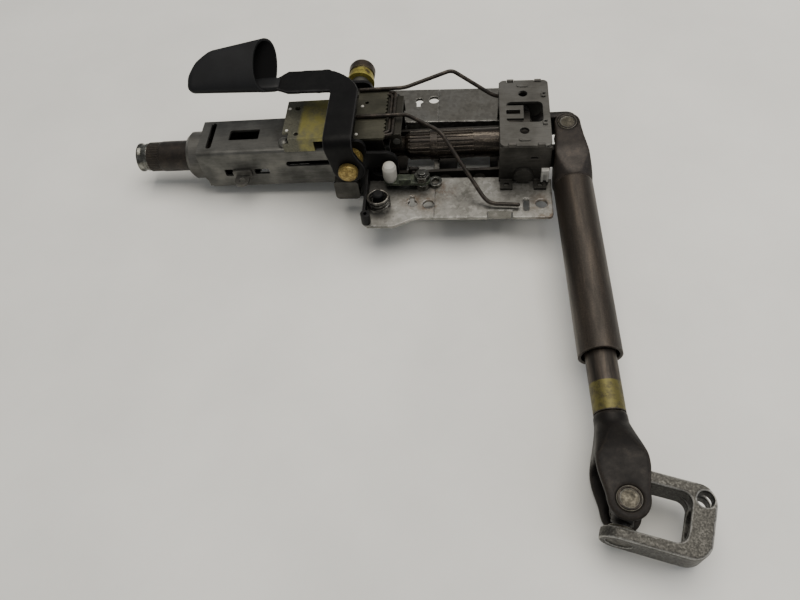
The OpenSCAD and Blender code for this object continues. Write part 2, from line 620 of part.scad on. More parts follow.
// Telescoping upper column
module housing_section() difference() {
    round_rect(-housing_half, housing_half, -housing_half_h, housing_half_h, 3);
    round_rect(-housing_half + housing_t, housing_half - housing_t, -housing_half_h + housing_t,
        housing_half_h - housing_t, 1.5);
}
module upper_housing() color("#9c9c99") column() difference() {
    union() {
        plate_x(housing_u0, housing_u1) housing_section();
        plate_x(housing_u0, housing_u0 + 2.5)
            round_rect(-housing_half, housing_half, -housing_half_h, housing_half_h, 3);
    }
    bar_x(upper_bearing_ro - 3, housing_u0 - 1, housing_u0 + 5);
    // End slot and window in the top face
    plate_z(housing_half_h - 4, housing_half_h + 4) {
        slot_2d([housing_u0 + 9, -11], [housing_u0 + 9, 13], 2.2);
        round_rect(housing_u0 + 24, housing_u0 + 48, -5, 6, 1.2);
    }
    // Lower front corner cut back at the wheel end
    plate_y(-60, -housing_half + housing_t + 0.5)
        polygon([[housing_u0 - 1, -4], [housing_u0 + 13, -40], [housing_u0 - 1, -40]]);
    // Pressed slot and two recess openings in the front face
    plate_y(-60, -housing_half + housing_t + 0.5) {
        slot_2d([housing_u0 + 72, 4.4], [housing_u0 + 104, 4.4], 2.6);
        round_rect(housing_u0 + 18, housing_u0 + 25, -6, 1, 1);
        round_rect(housing_u0 + 42, housing_u0 + 54, -5, 0.5, 1);
    }
    // Way for the guide's lower pads and an inspection opening underneath
    plate_z(-housing_half_h - 4, -housing_half_h + 4) round_rect(housing_u0 + 40, housing_u0 + 80, -8, 8, 3);
}
module lock_hat() color("#b7ab63") column() difference() {
    plate_x(hat_u0, hat_u1) difference() {
        translate([-hat_half, housing_half_h]) square([2 * hat_half, hat_h]);
        translate([-hat_half + hat_t, housing_half_h - 1])
            square([2 * (hat_half - hat_t), hat_h - hat_t + 1]);
    }
    // Reach slots for the clamp bolt
    plate_y(-60, 60) translate([slot_u0, housing_half_h - 1])
        square([slot_u1 - slot_u0, bolt_w + clamp_r + 0.5 - housing_half_h + 1]);
    plate_z(hat_top - 6, hat_top + 1) {
        translate([hat_u0 + 8.5, 12.5]) circle(2.3);
        translate([hat_u0 + 11, -16]) circle(1.8);
        translate([hat_u0 - 1, -hat_half - 1]) square([6, 8]);
    }
    translate([rod_u, 0, rod_w]) bar_y(rod_r + seat, -hat_half - 1, hat_half + 1);
}
module bearing_collar() color("#c6c5c0") column() difference() {
    turned([[13.6, housing_u0 - collar_len], [collar_ro - 2.5, housing_u0 - collar_len],
        [collar_ro, housing_u0 - collar_len + 3], [collar_ro, housing_u0], [13.6, housing_u0]]);
    bar_x(upper_bearing_ro + seat, housing_u0 - bearing_w - 0.7, housing_u0 + 1);
}
module upper_bearing_outer() color("#c9c9c6") column()
    race_outer(upper_seat_r, upper_bearing_ro, housing_u0 - bearing_w - 0.4);
module upper_bearing_balls() color("#dcdcdc") column()
    balls(upper_seat_r, upper_bearing_ro, housing_u0 - bearing_w - 0.4, 14);
module shaft_bush() color("#d0cdc2") column() difference() {
    plate_x(bush_u - bush_len, bush_u) round_rect(-housing_half + housing_t, housing_half - housing_t,
        -housing_half_h + housing_t, housing_half_h - housing_t, 1.5);
    bar_x(shaft_tube_r + run, bush_u - bush_len - 1, bush_u + 1);
}
module cross_rod() color("#b09a94") column() translate([rod_u, 0, rod_w])
    bar_y(rod_r, -hat_half - 0.3, hat_half + 0.3);
module housing_ear() color("#a3a3a0") column() translate([housing_u0 + 32, -housing_half, -4]) difference() {
    union() {
        plate_y(-2, 0) round_rect(-7, 8, -3, 5, 1.5);
        plate_z(-3, -1) union() {
            translate([0, -6]) circle(5.6);
            translate([-5.6, -6]) square([11.2, 6]);
        }
    }
    translate([0, -6, -5]) cylinder(r = 2.6, h = 6);
}
module stop_buffer() color("#8f908e") column() translate([hat_u0 - 1.6, -12, housing_half_h]) rotate_extrude()
    polygon([[0, 0], [4.4, 0], [4.4, 2.4], [3.6, 3.8], [2, 4.6], [0, 4.8]]);

// Shafts
// Serration of V grooves along a shaft
module serration(r, x0, x1, count, depth) for (k = [0 : count - 1]) rotate([360 * k / count, 0, 0])
    plate_x(x0, x1) polygon([[-depth - 1, r + 1], [0, r - depth], [depth + 1, r + 1]]);
module wheel_shaft() color("#5d5148") column() {
    seat_u0 = housing_u0 - collar_len - 1;
    difference() {
        turned([[0, wheel_end_u], [end_r, wheel_end_u], [end_r, wheel_end_u + 8],
            [spline_r - 0.6, wheel_end_u + 8], [spline_r, wheel_end_u + 8.6],
            [spline_r, wheel_end_u + 17.5], [shaft_r, wheel_end_u + 20],
            [shaft_r, seat_u0], [upper_seat_r, seat_u0], [upper_seat_r, housing_u0 + 3],
            [shaft_tube_r, housing_u0 + 4], [shaft_tube_r, shaft_tube_end], [0, shaft_tube_end]]);
        bar_x(thread_r, wheel_end_u - 1, wheel_end_u + 26);
        bar_x(slide_r + run, slide_u0 - reach - 8, shaft_tube_end + 1);
        serration(spline_r, wheel_end_u + 7, wheel_end_u + 18.5, 36, 0.5);
    }
}
module end_ring() color("#d9dadb") column() turned([[end_r + seat, wheel_end_u],
    [spline_r - 0.2, wheel_end_u], [spline_r - 0.2, wheel_end_u + 1.2], [10.5, wheel_end_u + 3],
    [10.4, wheel_end_u + 5.4], [11, wheel_end_u + 5.8], [11, wheel_end_u + 8],
    [end_r + seat, wheel_end_u + 8]]);
module upper_bearing_inner() color("#c9c9c6") column()
    race_inner(upper_seat_r + seat, upper_bearing_ro, housing_u0 - bearing_w - 0.4);
module ribbed_shaft() color("#6e6152") turned_shaft() difference() {
    turned([[0, slide_u0], [slide_r - 0.6, slide_u0], [slide_r, slide_u0 + 1], [slide_r, rib_u0 - 3],
        [rib_r - 1, rib_u0], [rib_r, rib_u0 + 1.5], [rib_r, rib_u1], [journal_r, rib_u1], [journal_r, 1.5],
        [fork_seat_r, 1.5], [fork_seat_r, fork_seat_end], [0, fork_seat_end]]);
    for (k = [0 : 21]) if (k != 5 && k != 16) rotate([360 * k / 22, 0, 0])
        box(rib_u0 - 2, -36, -0.8, 0.8, rib_r - 0.9, rib_r + 2);
}
module slip_ring() color("#b4a765") turned_shaft() ring_x(rib_r + seat, rib_r + 0.9, -69, -63.5);
module lower_bearing_inner() color("#c9c9c6") turned_shaft() race_inner(journal_r + seat, bearing_ro, -10);
module column_fork() color("#5b5a52") turned_shaft() difference() {
    union() {
        translate([joint_u, 0, 0]) fork_blank(column_throat, 6, 14, ear_r,
            [[0, ear_r], [-column_throat - 6, ear_r]]);
        turned([[0, 1.6], [12, 1.6], [12, joint_u - column_throat - 3], [0, joint_u - column_throat - 3]]);
    }
    bar_x(fork_seat_r + seat, 0, fork_seat_end);
    translate([joint_u, 0, 0]) cup_bore();
}
module column_cups() color("#8f8a7c") turned_shaft() translate([joint_u, 0, 0]) cups(fork_gap - 1.5);
module upper_cross() color("#6b665c") turned_shaft() translate([joint_u, 0, 0]) cross_arms(cup_out - 3);
// The tube's own fork: pins stand along Z, its tail points down the tube
module tube_fork() color("#5a524a") folded_tube() mirror([1, 0, 0]) rotate([90, 0, 0]) difference() {
    intersection() {
        fork_blank(throat, tube_start - throat + 4, tube_r, ear_r,
            concat(flank([0, ear_r], [-tube_start, tube_r]), [[-tube_start - 4, tube_r]]));
        turned([[0, -tube_start - 4], [tube_r - tube_t - seat, -tube_start - 4],
            [tube_r - tube_t - seat, -tube_start], [tube_r, -tube_start], [cup_out + 5, -throat + 2],
            [cup_out + 5, 20], [0, 20]]);
    }
    cup_bore();
}
module tube_cups() color("#8f8a7c") folded_tube() rotate([90, 0, 0]) cups(fork_gap - 1.5);
module outer_tube() color("#5f564d") folded_tube() ring_x(tube_r - tube_t, tube_r, tube_start, tube_end);
module slider_sleeve() color("#c8c4b4") folded_tube()
    ring_x(inner_r + run, tube_r - tube_t - seat, tube_end - 48, tube_end - 8);
module inner_shaft() color("#6a6058") folded_tube()
    turned([[0, inner_start], [inner_r - 1, inner_start], [inner_r, inner_start + 1],
        [inner_r, joint_span - yoke_neck], [0, joint_span - yoke_neck]]);
module lower_yoke() color("#554e49") lower_joint() rotate([90, 0, 0]) difference() {
    intersection() {
        fork_blank(throat, yoke_neck - throat, neck_r, yoke_ear_r,
            concat(flank([0, yoke_ear_r], [-20, shoulder_r]), flank([-22, shoulder_r], [-48, neck_r]),
            [[-yoke_neck, neck_r]]));
        turned([[0, -yoke_neck], [neck_r, -yoke_neck], [neck_r + 0.2, -48], [cup_out + 6, -throat + 4],
            [cup_out + 6, 20], [0, 20]]);
    }
    cup_bore();
}
module yoke_cups() color("#a39c86") lower_joint() rotate([90, 0, 0]) cups(fork_gap - 1.5);
module lower_cross() color("#6b665c") lower_joint() rotate([0, 0, clamp_fold]) cross_arms(cup_out - 3);
module clamp_fork() color("#8b8a86") clamp_frame() difference() {
    intersection() {
        plate_z(-clamp_h, clamp_h) difference() {
            union() {
                translate([-clamp_h, -clamp_half]) square([clamp_len + clamp_h - 11, 2 * clamp_half]);
                round_rect(0, clamp_len, -clamp_half, clamp_half, 11);
            }
            translate([-40, -clamp_gap]) square([clamp_cavity + 34, 2 * clamp_gap]);
            translate([-40, -clamp_gap + 6]) square([clamp_cavity + 40, 2 * clamp_gap - 12]);
            for (s = [-1, 1]) translate([clamp_cavity - 6, s * (clamp_gap - 6)]) circle(6);
        }
        plate_y(-60, 60) union() {
            circle(clamp_h);
            translate([0, -clamp_h]) square([clamp_len, 2 * clamp_h]);
        }
    }
    bar_y(cup_r + seat, -60, 60);
    bar_x(pinion_r, clamp_cavity - 4, clamp_len + 4);
    box(clamp_cavity - 4, clamp_len + 4, 0, clamp_half + 4, -1, 1);
    translate([clamp_cavity + 6.5, pinion_r + 4.9, 0]) cylinder(r = 4.5, h = 60, center = true);
}
module clamp_cups() color("#8f8a7c") clamp_frame() both_sides() difference() {
    bar_y(cup_r, fork_gap - 1.5, clamp_half - 1);
    bar_y(trunnion_r + run, 0, cup_out - 2.6);
}

mounting_bracket();
front_cheek();
rear_cheek();
front_gusset();
support_block();
box_frame();
box_cover();
box_clip();
pivot_pins();
spring_post();
coil_spring();
pawl_stud();
pawl_tab();
pawl_lever();
buffer_cap();
guide_channel();
slide_pads();
lower_bearing_outer();
lower_bearing_balls();
bearing_ring();
clamp_bolt();
clamp_spacers();
fixed_cam();
clamp_nut();
spring_bridge();
rear_spring_wire();
front_spring_wire();
lever_strap();
moving_cam();
lever_paddle();
upper_housing();
lock_hat();
bearing_collar();
upper_bearing_outer();
upper_bearing_balls();
shaft_bush();
cross_rod();
housing_ear();
stop_buffer();
wheel_shaft();
end_ring();
upper_bearing_inner();
ribbed_shaft();
slip_ring();
lower_bearing_inner();
column_fork();
column_cups();
upper_cross();
tube_fork();
tube_cups();
outer_tube();
slider_sleeve();
inner_shaft();
lower_yoke();
yoke_cups();
lower_cross();
clamp_fork();
clamp_cups();
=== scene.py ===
"""Looks of an adjustable steering column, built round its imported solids.

Blender's lengths are metres. Sizes are written in millimetres, and MM turns them into metres."""
import json
import math

import bmesh
import bpy
import numpy as np
from mathutils import Matrix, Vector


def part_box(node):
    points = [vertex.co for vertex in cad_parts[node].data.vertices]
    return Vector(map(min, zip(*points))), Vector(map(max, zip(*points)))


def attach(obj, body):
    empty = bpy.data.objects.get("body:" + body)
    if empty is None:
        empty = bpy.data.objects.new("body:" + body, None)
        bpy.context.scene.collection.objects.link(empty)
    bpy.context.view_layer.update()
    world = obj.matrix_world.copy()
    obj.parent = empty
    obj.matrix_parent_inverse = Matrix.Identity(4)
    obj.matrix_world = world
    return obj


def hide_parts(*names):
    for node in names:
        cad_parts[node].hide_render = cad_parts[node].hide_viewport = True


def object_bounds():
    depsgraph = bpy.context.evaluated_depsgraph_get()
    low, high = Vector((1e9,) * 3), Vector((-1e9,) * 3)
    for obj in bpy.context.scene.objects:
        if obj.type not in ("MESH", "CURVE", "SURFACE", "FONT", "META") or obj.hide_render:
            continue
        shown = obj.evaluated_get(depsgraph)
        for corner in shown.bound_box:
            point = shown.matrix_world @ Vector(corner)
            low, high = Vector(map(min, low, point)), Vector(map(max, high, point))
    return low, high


MM = 0.001
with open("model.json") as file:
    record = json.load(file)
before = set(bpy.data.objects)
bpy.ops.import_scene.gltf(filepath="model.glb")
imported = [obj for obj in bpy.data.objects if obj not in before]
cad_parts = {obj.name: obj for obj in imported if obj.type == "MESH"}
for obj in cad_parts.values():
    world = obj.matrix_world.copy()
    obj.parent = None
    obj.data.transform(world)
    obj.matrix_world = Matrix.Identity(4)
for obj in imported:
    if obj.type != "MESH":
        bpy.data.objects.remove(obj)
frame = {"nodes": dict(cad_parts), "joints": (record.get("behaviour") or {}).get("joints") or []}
solid_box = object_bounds()
nodes = frame["nodes"]
joints = {joint["name"]: joint for joint in frame["joints"]}


def read(items, name, width, kind=np.float64):
    """One property of all items of a mesh, such as its points' places, as rows of so many numbers."""
    values = np.empty(len(items) * width, dtype=kind)
    items.foreach_get(name, values)
    return values.reshape(-1, width)


def unit(vectors):
    """Vectors scaled to a length of one."""
    return vectors / np.linalg.norm(vectors, axis=-1, keepdims=True)


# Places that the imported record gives: the column, its clamp bolt, the folded tube and the universal joints
ORIGIN = np.zeros(3)
PIVOT = np.array(joints["rake_tilt"]["pos_m"])
ALONG = np.array(joints["reach_slide"]["axis"])
ACROSS = np.array([0.0, 1.0, 0.0])
ABOVE = np.cross(ALONG, ACROSS)
BOLT = np.array(joints["lever_swing"]["pos_m"])
UPPER_JOINT = np.array(joints["tube_fold"]["pos_m"])
LOWER_JOINT = np.array(joints["lower_fold"]["pos_m"])
TUBE_AXIS = np.array(joints["tube_slide"]["axis"])
SHAFT_PIN = np.array(joints["upper_cross_tilt"]["axis"])
TUBE_PIN = np.array(joints["tube_fold"]["axis"])
CLAMP_PIN = np.array(joints["fork_tilt"]["axis"])


def top_above(name):
    """Height of a solid's highest point above the column's axis, in millimetres."""
    return np.max((read(nodes[name].data.vertices, "co", 3) - PIVOT) @ ABOVE) / MM


# Sizes that the solids give, in millimetres: the bolt's distance along from the pivot, and three heights
BOLT_U = (BOLT - PIVOT) @ ALONG / MM
STRAP_TOP = top_above("lever_strap")
BRIDGE_TOP = top_above("spring_bridge")
HAT_TOP = top_above("lock_hat")

# Sizes that follow those of the solids, in millimetres
CUP_R = 7.0
STRAP_BORE = 4.16
STRAP_HALF = 1.5
WIRE_R = 1.5
CLEARANCE = 0.1

# Camera, fitted to the photograph's 800 by 600 frame
CAMERA_PLACE = np.array([-8.5, -415.6, 398.0]) * MM
CAMERA_YAW = math.radians(-10.03)
CAMERA_PITCH = math.radians(55.04)
CAMERA_ROLL = math.radians(-7.88)
SENSOR_WIDTH = 36.0
FOCAL_PIXELS = 720.0
IMAGE_WIDTH = 800.0


def add_camera():
    """The view direction turns by yaw and dips by pitch, and roll turns the picture about it."""
    ahead = np.array([math.sin(CAMERA_YAW) * math.cos(CAMERA_PITCH),
                      math.cos(CAMERA_YAW) * math.cos(CAMERA_PITCH), -math.sin(CAMERA_PITCH)])
    level = np.array([math.cos(CAMERA_YAW), -math.sin(CAMERA_YAW), 0.0])
    over = np.cross(level, ahead)
    right = level * math.cos(CAMERA_ROLL) + over * math.sin(CAMERA_ROLL)
    up = over * math.cos(CAMERA_ROLL) - level * math.sin(CAMERA_ROLL)
    lens = bpy.data.cameras.new("camera")
    lens.sensor_width = SENSOR_WIDTH
    lens.lens = FOCAL_PIXELS / IMAGE_WIDTH * SENSOR_WIDTH
    lens.clip_start = 10 * MM
    camera = bpy.data.objects.new("camera", lens)
    place = np.eye(4)
    place[:3] = np.stack([right, up, -ahead, CAMERA_PLACE], axis=-1)
    camera.matrix_world = Matrix(place.tolist())
    bpy.context.scene.collection.objects.link(camera)
    bpy.context.scene.camera = camera


add_camera()


# Shader nodes and the patterns that finishes share


def linear(colour):
    """An sRGB hex value as linear red, green, blue and alpha."""
    parts = np.array([int(colour[k:k + 2], 16) for k in (1, 3, 5)]) / 255.0
    parts = np.where(parts <= 0.04045, parts / 12.92, ((parts + 0.055) / 1.055) ** 2.4)
    return (*parts.tolist(), 1.0)


def add(tree, kind, wires=None, values=None, stops=None, **settings):
    """Adds a shader node with its settings, input values, linked inputs and colour stops."""
    node = tree.nodes.new("ShaderNode" + kind)
    for name, value in settings.items():
        setattr(node, name, value)
    for socket, value in (values or {}).items():
        node.inputs[socket].default_value = value
    for socket, source in (wires or {}).items():
        tree.links.new(source, node.inputs[socket])
    if stops:
        elements = node.color_ramp.elements
        while len(elements) < len(stops):
            elements.new(1.0)
        for element, (place, colour) in zip(elements, stops):
            element.position = place
            element.color = linear(colour) if isinstance(colour, str) else (colour, colour, colour, 1.0)
    return node


def begin(name, metallic, specular=0.5):
    """A new material with its shader and the coordinates of the object that wears it."""
    material = bpy.data.materials.new(name)
    material.use_nodes = True
    tree = material.node_tree
    shader = tree.nodes["Principled BSDF"]
    shader.inputs["Metallic"].default_value = metallic
    shader.inputs["Specular IOR Level"].default_value = specular
    place = add(tree, "TexCoord").outputs["Object"]
    return material, tree, shader, place


def across_mm(size):
    """Pattern scale that gives one feature in so many millimetres."""
    return 1.0 / (size * MM)


def noise(tree, place, size, detail, roughness=0.5):
    """A cloudy pattern from 0 to 1, with one feature in so many millimetres."""
    values = {"Scale": across_mm(size), "Detail": detail, "Roughness": roughness}
    return add(tree, "TexNoise", {"Vector": place}, values).outputs["Fac"]


def ramp(tree, factor, *stops):
    """Colours, or grey levels, at given places of a factor, with smooth steps between them."""
    return add(tree, "ValToRGB", {"Fac": factor}, stops=stops).outputs["Color"]


def weigh(tree, one, other, share):
    """Two patterns mixed, with a fixed share of the second one."""
    return add(tree, "Mix", {2: one, 3: other}, {0: share}).outputs[0]


def multiply(tree, one, other):
    """The product of two patterns."""
    return add(tree, "Math", {0: one, 1: other}, operation="MULTIPLY").outputs[0]


def lay_over(tree, base, share, colour):
    """A colour laid over another one, by a share that is a pattern."""
    return add(tree, "Mix", {0: share, 6: base}, {7: linear(colour)}, data_type="RGBA").outputs[2]


def level_along(tree, place, origin, axis):
    """Distance of a point from an origin, measured along an axis."""
    offset = add(tree, "VectorMath", {0: place}, {1: origin}, operation="SUBTRACT").outputs[0]
    return add(tree, "VectorMath", {0: offset}, {1: axis}, operation="DOT_PRODUCT").outputs["Value"]


def band(tree, level, start, stop, soft):
    """One between two levels in millimetres and nothing outside, with soft ends of so many millimetres."""
    rise = add(tree, "MapRange", {"Value": level}, {1: (start - soft) * MM, 2: start * MM})
    fall = add(tree, "MapRange", {"Value": level}, {1: stop * MM, 2: (stop + soft) * MM, 3: 1.0, 4: 0.0})
    return multiply(tree, rise.outputs[0], fall.outputs[0])


def stretched(tree, place, axis, share):
    """Coordinates squeezed along an axis, so that a pattern on them runs long that way."""
    level = add(tree, "VectorMath", {0: place}, {1: axis}, operation="DOT_PRODUCT").outputs["Value"]
    shrink = add(tree, "Math", {0: level}, {1: 1.0 - share}, operation="MULTIPLY").outputs[0]
    shift = add(tree, "VectorMath", {"Scale": shrink}, {0: axis}, operation="SCALE").outputs[0]
    return add(tree, "VectorMath", {0: place, 1: shift}, operation="SUBTRACT").outputs[0]


def nearness(tree, place, spots, reach):
    """One at the closest of some spots, falling to nothing at a reach in millimetres."""
    closest = None
    for spot in spots:
        far = add(tree, "VectorMath", {0: place}, {1: spot}, operation="DISTANCE").outputs["Value"]
        if closest is not None:
            far = add(tree, "Math", {0: far, 1: closest}, operation="MINIMUM").outputs[0]
        closest = far
    return add(tree, "MapRange", {"Value": closest}, {1: 0.0, 2: reach * MM, 3: 1.0, 4: 0.0}).outputs[0]


def groove_shadow_ring(tree, place, centre, axis):
    """One in a narrow ring about an axis, just outside a bearing cup, and nothing elsewhere: where the
    groove's painted shadow goes.
    """
    offset = add(tree, "VectorMath", {0: place}, {1: centre}, operation="SUBTRACT").outputs[0]
    spoke = add(tree, "VectorMath", {0: offset}, {1: axis}, operation="CROSS_PRODUCT").outputs[0]
    far = add(tree, "VectorMath", {0: spoke}, operation="LENGTH").outputs["Value"]
    return band(tree, far, *CUP_GROOVE_SHADOW)


def finish_surface(tree, shader, colour, rough, height, depth, edge, rounded=False):
    """Links colour, roughness and a height pattern to the shader, and paints the edges another colour: rubbed
    wear on most finishes, a painted highlight on the galvanised folds, and both on the black coat.

    An edge, given by its width in millimetres, its colour and a share, is where the normal averaged over a
    small ball leaves the true one. A rounded skin has no such edges, so it keeps its own measure of where
    they were, in the wear attribute."""
    width, edge_wear_and_highlight_colour, share = edge
    soft = add(tree, "Bevel", values={"Radius": width * MM}, samples=4).outputs[0]
    if rounded:
        wear = add(tree, "Attribute", attribute_name="wear").outputs["Fac"]
        rubbed_and_highlit_edges = ramp(tree, wear, (0.15, 0.0), (0.6, share))
    else:
        true_normal = add(tree, "NewGeometry").outputs["Normal"]
        turn = add(tree, "VectorMath", {0: soft, 1: true_normal}, operation="DOT_PRODUCT").outputs["Value"]
        rubbed_and_highlit_edges = ramp(tree, turn, (0.8, share), (0.985, 0.0))
    # Edge colour laid over the tooth: rubbed wear on most finishes, a painted highlight on the galvanised
    # folds, both on the black coat
    worn = lay_over(tree, colour, multiply(tree, rubbed_and_highlit_edges, height), edge_wear_and_highlight_colour)
    tree.links.new(worn, shader.inputs["Base Color"])
    tree.links.new(rough, shader.inputs["Roughness"])
    bump = add(tree, "Bump", {"Height": height, "Normal": soft}, {"Strength": 0.6, "Distance": depth * MM})
    tree.links.new(bump.outputs["Normal"], shader.inputs["Normal"])


# Finishes

# A steel skin's tooth and the drawn scratches in millimetres, coarser than the real ones so that they show
TOOTH = 0.9
SCRATCHES = 0.9
# Bands of a finish in millimetres: start, stop and the length of the soft ends; the rear wing's band is
# painted shade
REAR_WING_SHADE_BAND = (34.0, 200.0, 8.0)
YELLOW_BAND = (-164.0, -141.0, 2.5)
GREASE_BAND = (-132.0, 0.0, 4.0)
FAR_HALF_OF_NUT = (57.7, 115.4, 1.5)
PAINT_BAND = (203.0, 221.0, 0.6)
# The ring just outside a bearing cup that carries a painted shadow for the groove's shade
CUP_GROOVE_SHADOW = (CUP_R, CUP_R + 1.0, 0.25)
# Share of dark grey laid over the rear wing: painted shade for its darker reflection
REAR_WING_SHADE_SHARE = 0.55
# Height in millimetres above which the box's sides keep their pale tone, as painted light on the lit tabs
LIT_TOP_ABOVE = 36.2
RUST_SPOTS = np.array([(-41, -57.5, 2.5), (-54, -52, 2.5), (41, -57.5, 2.5), (-30, -44, 2.5),
                       (45, -69, 0)]) * MM
RUST_REACH = 12.0


def galvanised_sheet():
    """Pressed galvanised sheet: soft grey shine with faint zinc crystals, dull smears and rust by the holes.

    Painted shade darkens the rear wing, standing for the darker reflection that its polished zinc shows."""
    material, tree, shader, place = begin("galvanised_sheet", 0.85)
    crystals = add(tree, "TexVoronoi", {"Vector": place}, {"Scale": across_mm(2.4)})
    grey = add(tree, "RGBToBW", {"Color": crystals.outputs["Color"]}).outputs["Val"]
    smears = noise(tree, place, 22, 7.0, 0.6)
    tone = weigh(tree, smears, grey, 0.16)
    zinc = ramp(tree, tone, (0.3, "#55544f"), (0.5, "#83827d"), (0.72, "#aaa9a4"))
    flakes = ramp(tree, noise(tree, place, 4.5, 6.0, 0.7), (0.4, 0.0), (0.58, 1.0))
    rust = multiply(tree, nearness(tree, place, RUST_SPOTS, RUST_REACH), flakes)
    # Painted shade: the rear wing is laid over with dark grey, for its darker reflection
    rear_wing_mask = band(tree, level_along(tree, place, ORIGIN, ACROSS), *REAR_WING_SHADE_BAND)
    rear_wing_shade = add(tree, "Math", {0: rear_wing_mask}, {1: REAR_WING_SHADE_SHARE}, operation="MULTIPLY").outputs[0]
    colour = lay_over(tree, lay_over(tree, zinc, rear_wing_shade, "#3b3934"), rust, "#57422c")
    rough = ramp(tree, smears, (0.3, 0.5), (0.7, 0.26))
    # The pale edge colour is a painted highlight along the folded edges of the wings
    finish_surface(tree, shader, colour, rough, grey, 0.02, edge=(1.3, "#e4e3de", 0.9))
    return material


def zinc_plated_sheet(name, grime, dark, pale, lit_top_above=None):
    """Zinc plate on folded sheet: satin grey with faint drawn scratches along the column and grimy patches.

    Above a height in millimetres, if it has one, the plate is pale: painted light on the lit tops of the
    shaded sides."""
    material, tree, shader, place = begin(name, 0.7)
    scratches = noise(tree, stretched(tree, place, ALONG, 0.08), SCRATCHES, 4.0, 0.7)
    clouds = noise(tree, place, 24, 7.0, 0.58)
    tone = weigh(tree, clouds, scratches, 0.25)
    colour = ramp(tree, tone, (0.28, grime), (0.47, dark), (0.7, pale))
    # Painted light: above the height the tops are pale as if lit, unlike the painted shade of the sides below
    if lit_top_above is not None:
        level = level_along(tree, place, (0.0, 0.0, lit_top_above * MM), (0.0, 0.0, 1.0))
        lit_top = add(tree, "MapRange", {"Value": level}, {1: -0.2 * MM, 2: 0.2 * MM}).outputs[0]
        colour = lay_over(tree, colour, lit_top, pale)
    rough = ramp(tree, clouds, (0.35, 0.6), (0.65, 0.34))
    finish_surface(tree, shader, colour, rough, scratches, 0.02, edge=(0.5, pale, 0.9))
    return material


def mottled_steel(name, metallic, tones, patch, rough, edge, depth=0.04, specular=0.5, axis=None, cup=None,
                  rounded=False):
    """Steel with a mottled skin: patches in three tones over a fine tooth, drawn out along an axis if given.

    A forging's bearing cup, given by the joint's centre and the pin's axis, has a black ring round it: a
    painted shadow that stands for the shade in the groove about the cup."""
    material, tree, shader, place = begin(name, metallic, specular)
    flow = place if axis is None else stretched(tree, place, axis, 0.12)
    patches = noise(tree, flow, patch, 8.0, 0.66)
    tooth = noise(tree, place, TOOTH, 4.0)
    tone = weigh(tree, patches, tooth, 0.3)
    colour = ramp(tree, tone, *zip((0.36, 0.5, 0.64), tones))
    if cup:
        # Painted shadow: a black ring for the shade in the groove just outside the bearing cup
        colour = lay_over(tree, colour, groove_shadow_ring(tree, place, *cup), "#060505")
    gloss = ramp(tree, patches, *zip((0.35, 0.65), rough))
    finish_surface(tree, shader, colour, gloss, tooth, depth, edge, rounded)
    return material


def moulded_plastic(name, dark, pale, grain, depth, rough, specular):
    """Moulded plastic: an even colour with cloudy handling marks and a leather-like grain from the tool.

    Where a piece keeps a shade, as inside a hollow grip, it is painted almost black and dull: painted shade
    for the depth of the hollow."""
    material, tree, shader, place = begin(name, 0.0, specular)
    cells = add(tree, "TexVoronoi", {"Vector": place}, {"Scale": across_mm(grain)}, feature="SMOOTH_F1")
    clouds = noise(tree, place, 24, 7.0, 0.6)
    face = ramp(tree, clouds, (0.35, dark), (0.65, pale))
    shade = add(tree, "Attribute", attribute_name="shade").outputs["Fac"]
    # Painted shade: near-black laid over the inside of the hollow grip
    colour = lay_over(tree, face, shade, "#050506")
    gloss = ramp(tree, clouds, (0.3, rough + 0.1), (0.7, rough - 0.1))
    dull = add(tree, "Mix", {0: shade, 2: gloss}, {3: 1.0}).outputs[0]
    finish_surface(tree, shader, colour, dull, cells.outputs["Distance"], depth, edge=(0.6, pale, 0.5))
    return material


def chromated_hat():
    """Zinc plate with passivation: grey by the wheel end, then yellow patches, and dark grease beyond."""
    material, tree, shader, place = begin("yellow_passivated_zinc", 0.6)
    level = level_along(tree, place, PIVOT, ALONG)
    clouds = noise(tree, place, 11, 7.0, 0.62)
    fine = noise(tree, place, 1.5, 4.0)
    grey = ramp(tree, fine, (0.35, "#4b4b41"), (0.65, "#5f5e51"))
    patches = ramp(tree, clouds, (0.4, 0.25), (0.6, 1.0))
    yellow = multiply(tree, patches, band(tree, level, *YELLOW_BAND))
    plated = lay_over(tree, grey, yellow, "#858048")
    smear = ramp(tree, clouds, (0.3, 0.95), (0.7, 0.7))
    grease = multiply(tree, smear, band(tree, level, *GREASE_BAND))
    colour = lay_over(tree, plated, grease, "#1d1a16")
    rough = ramp(tree, clouds, (0.35, 0.5), (0.65, 0.32))
    finish_surface(tree, shader, colour, rough, fine, 0.02, edge=(0.5, "#8d8c80", 0.8))
    return material


def two_tone_nut():
    """Yellow zinc with brown stains on the near half of the nut, and dark oily brown on its far half."""
    material, tree, shader, place = begin("stained_yellow_zinc", 0.5)
    stains = noise(tree, place, 5, 8.0, 0.7)
    tooth = noise(tree, place, TOOTH, 4.0)
    near = ramp(tree, stains, (0.36, "#3a2f1c"), (0.46, "#7d7430"), (0.64, "#a29848"))
    far = ramp(tree, stains, (0.36, "#15110d"), (0.64, "#40362a"))
    beyond = band(tree, level_along(tree, place, ORIGIN, ACROSS), *FAR_HALF_OF_NUT)
    colour = add(tree, "Mix", {0: beyond, 6: near, 7: far}, data_type="RGBA").outputs[2]
    rough = ramp(tree, stains, (0.35, 0.55), (0.65, 0.36))
    finish_surface(tree, shader, colour, rough, tooth, 0.04, edge=(0.8, "#b0a65a", 0.6))
    return material


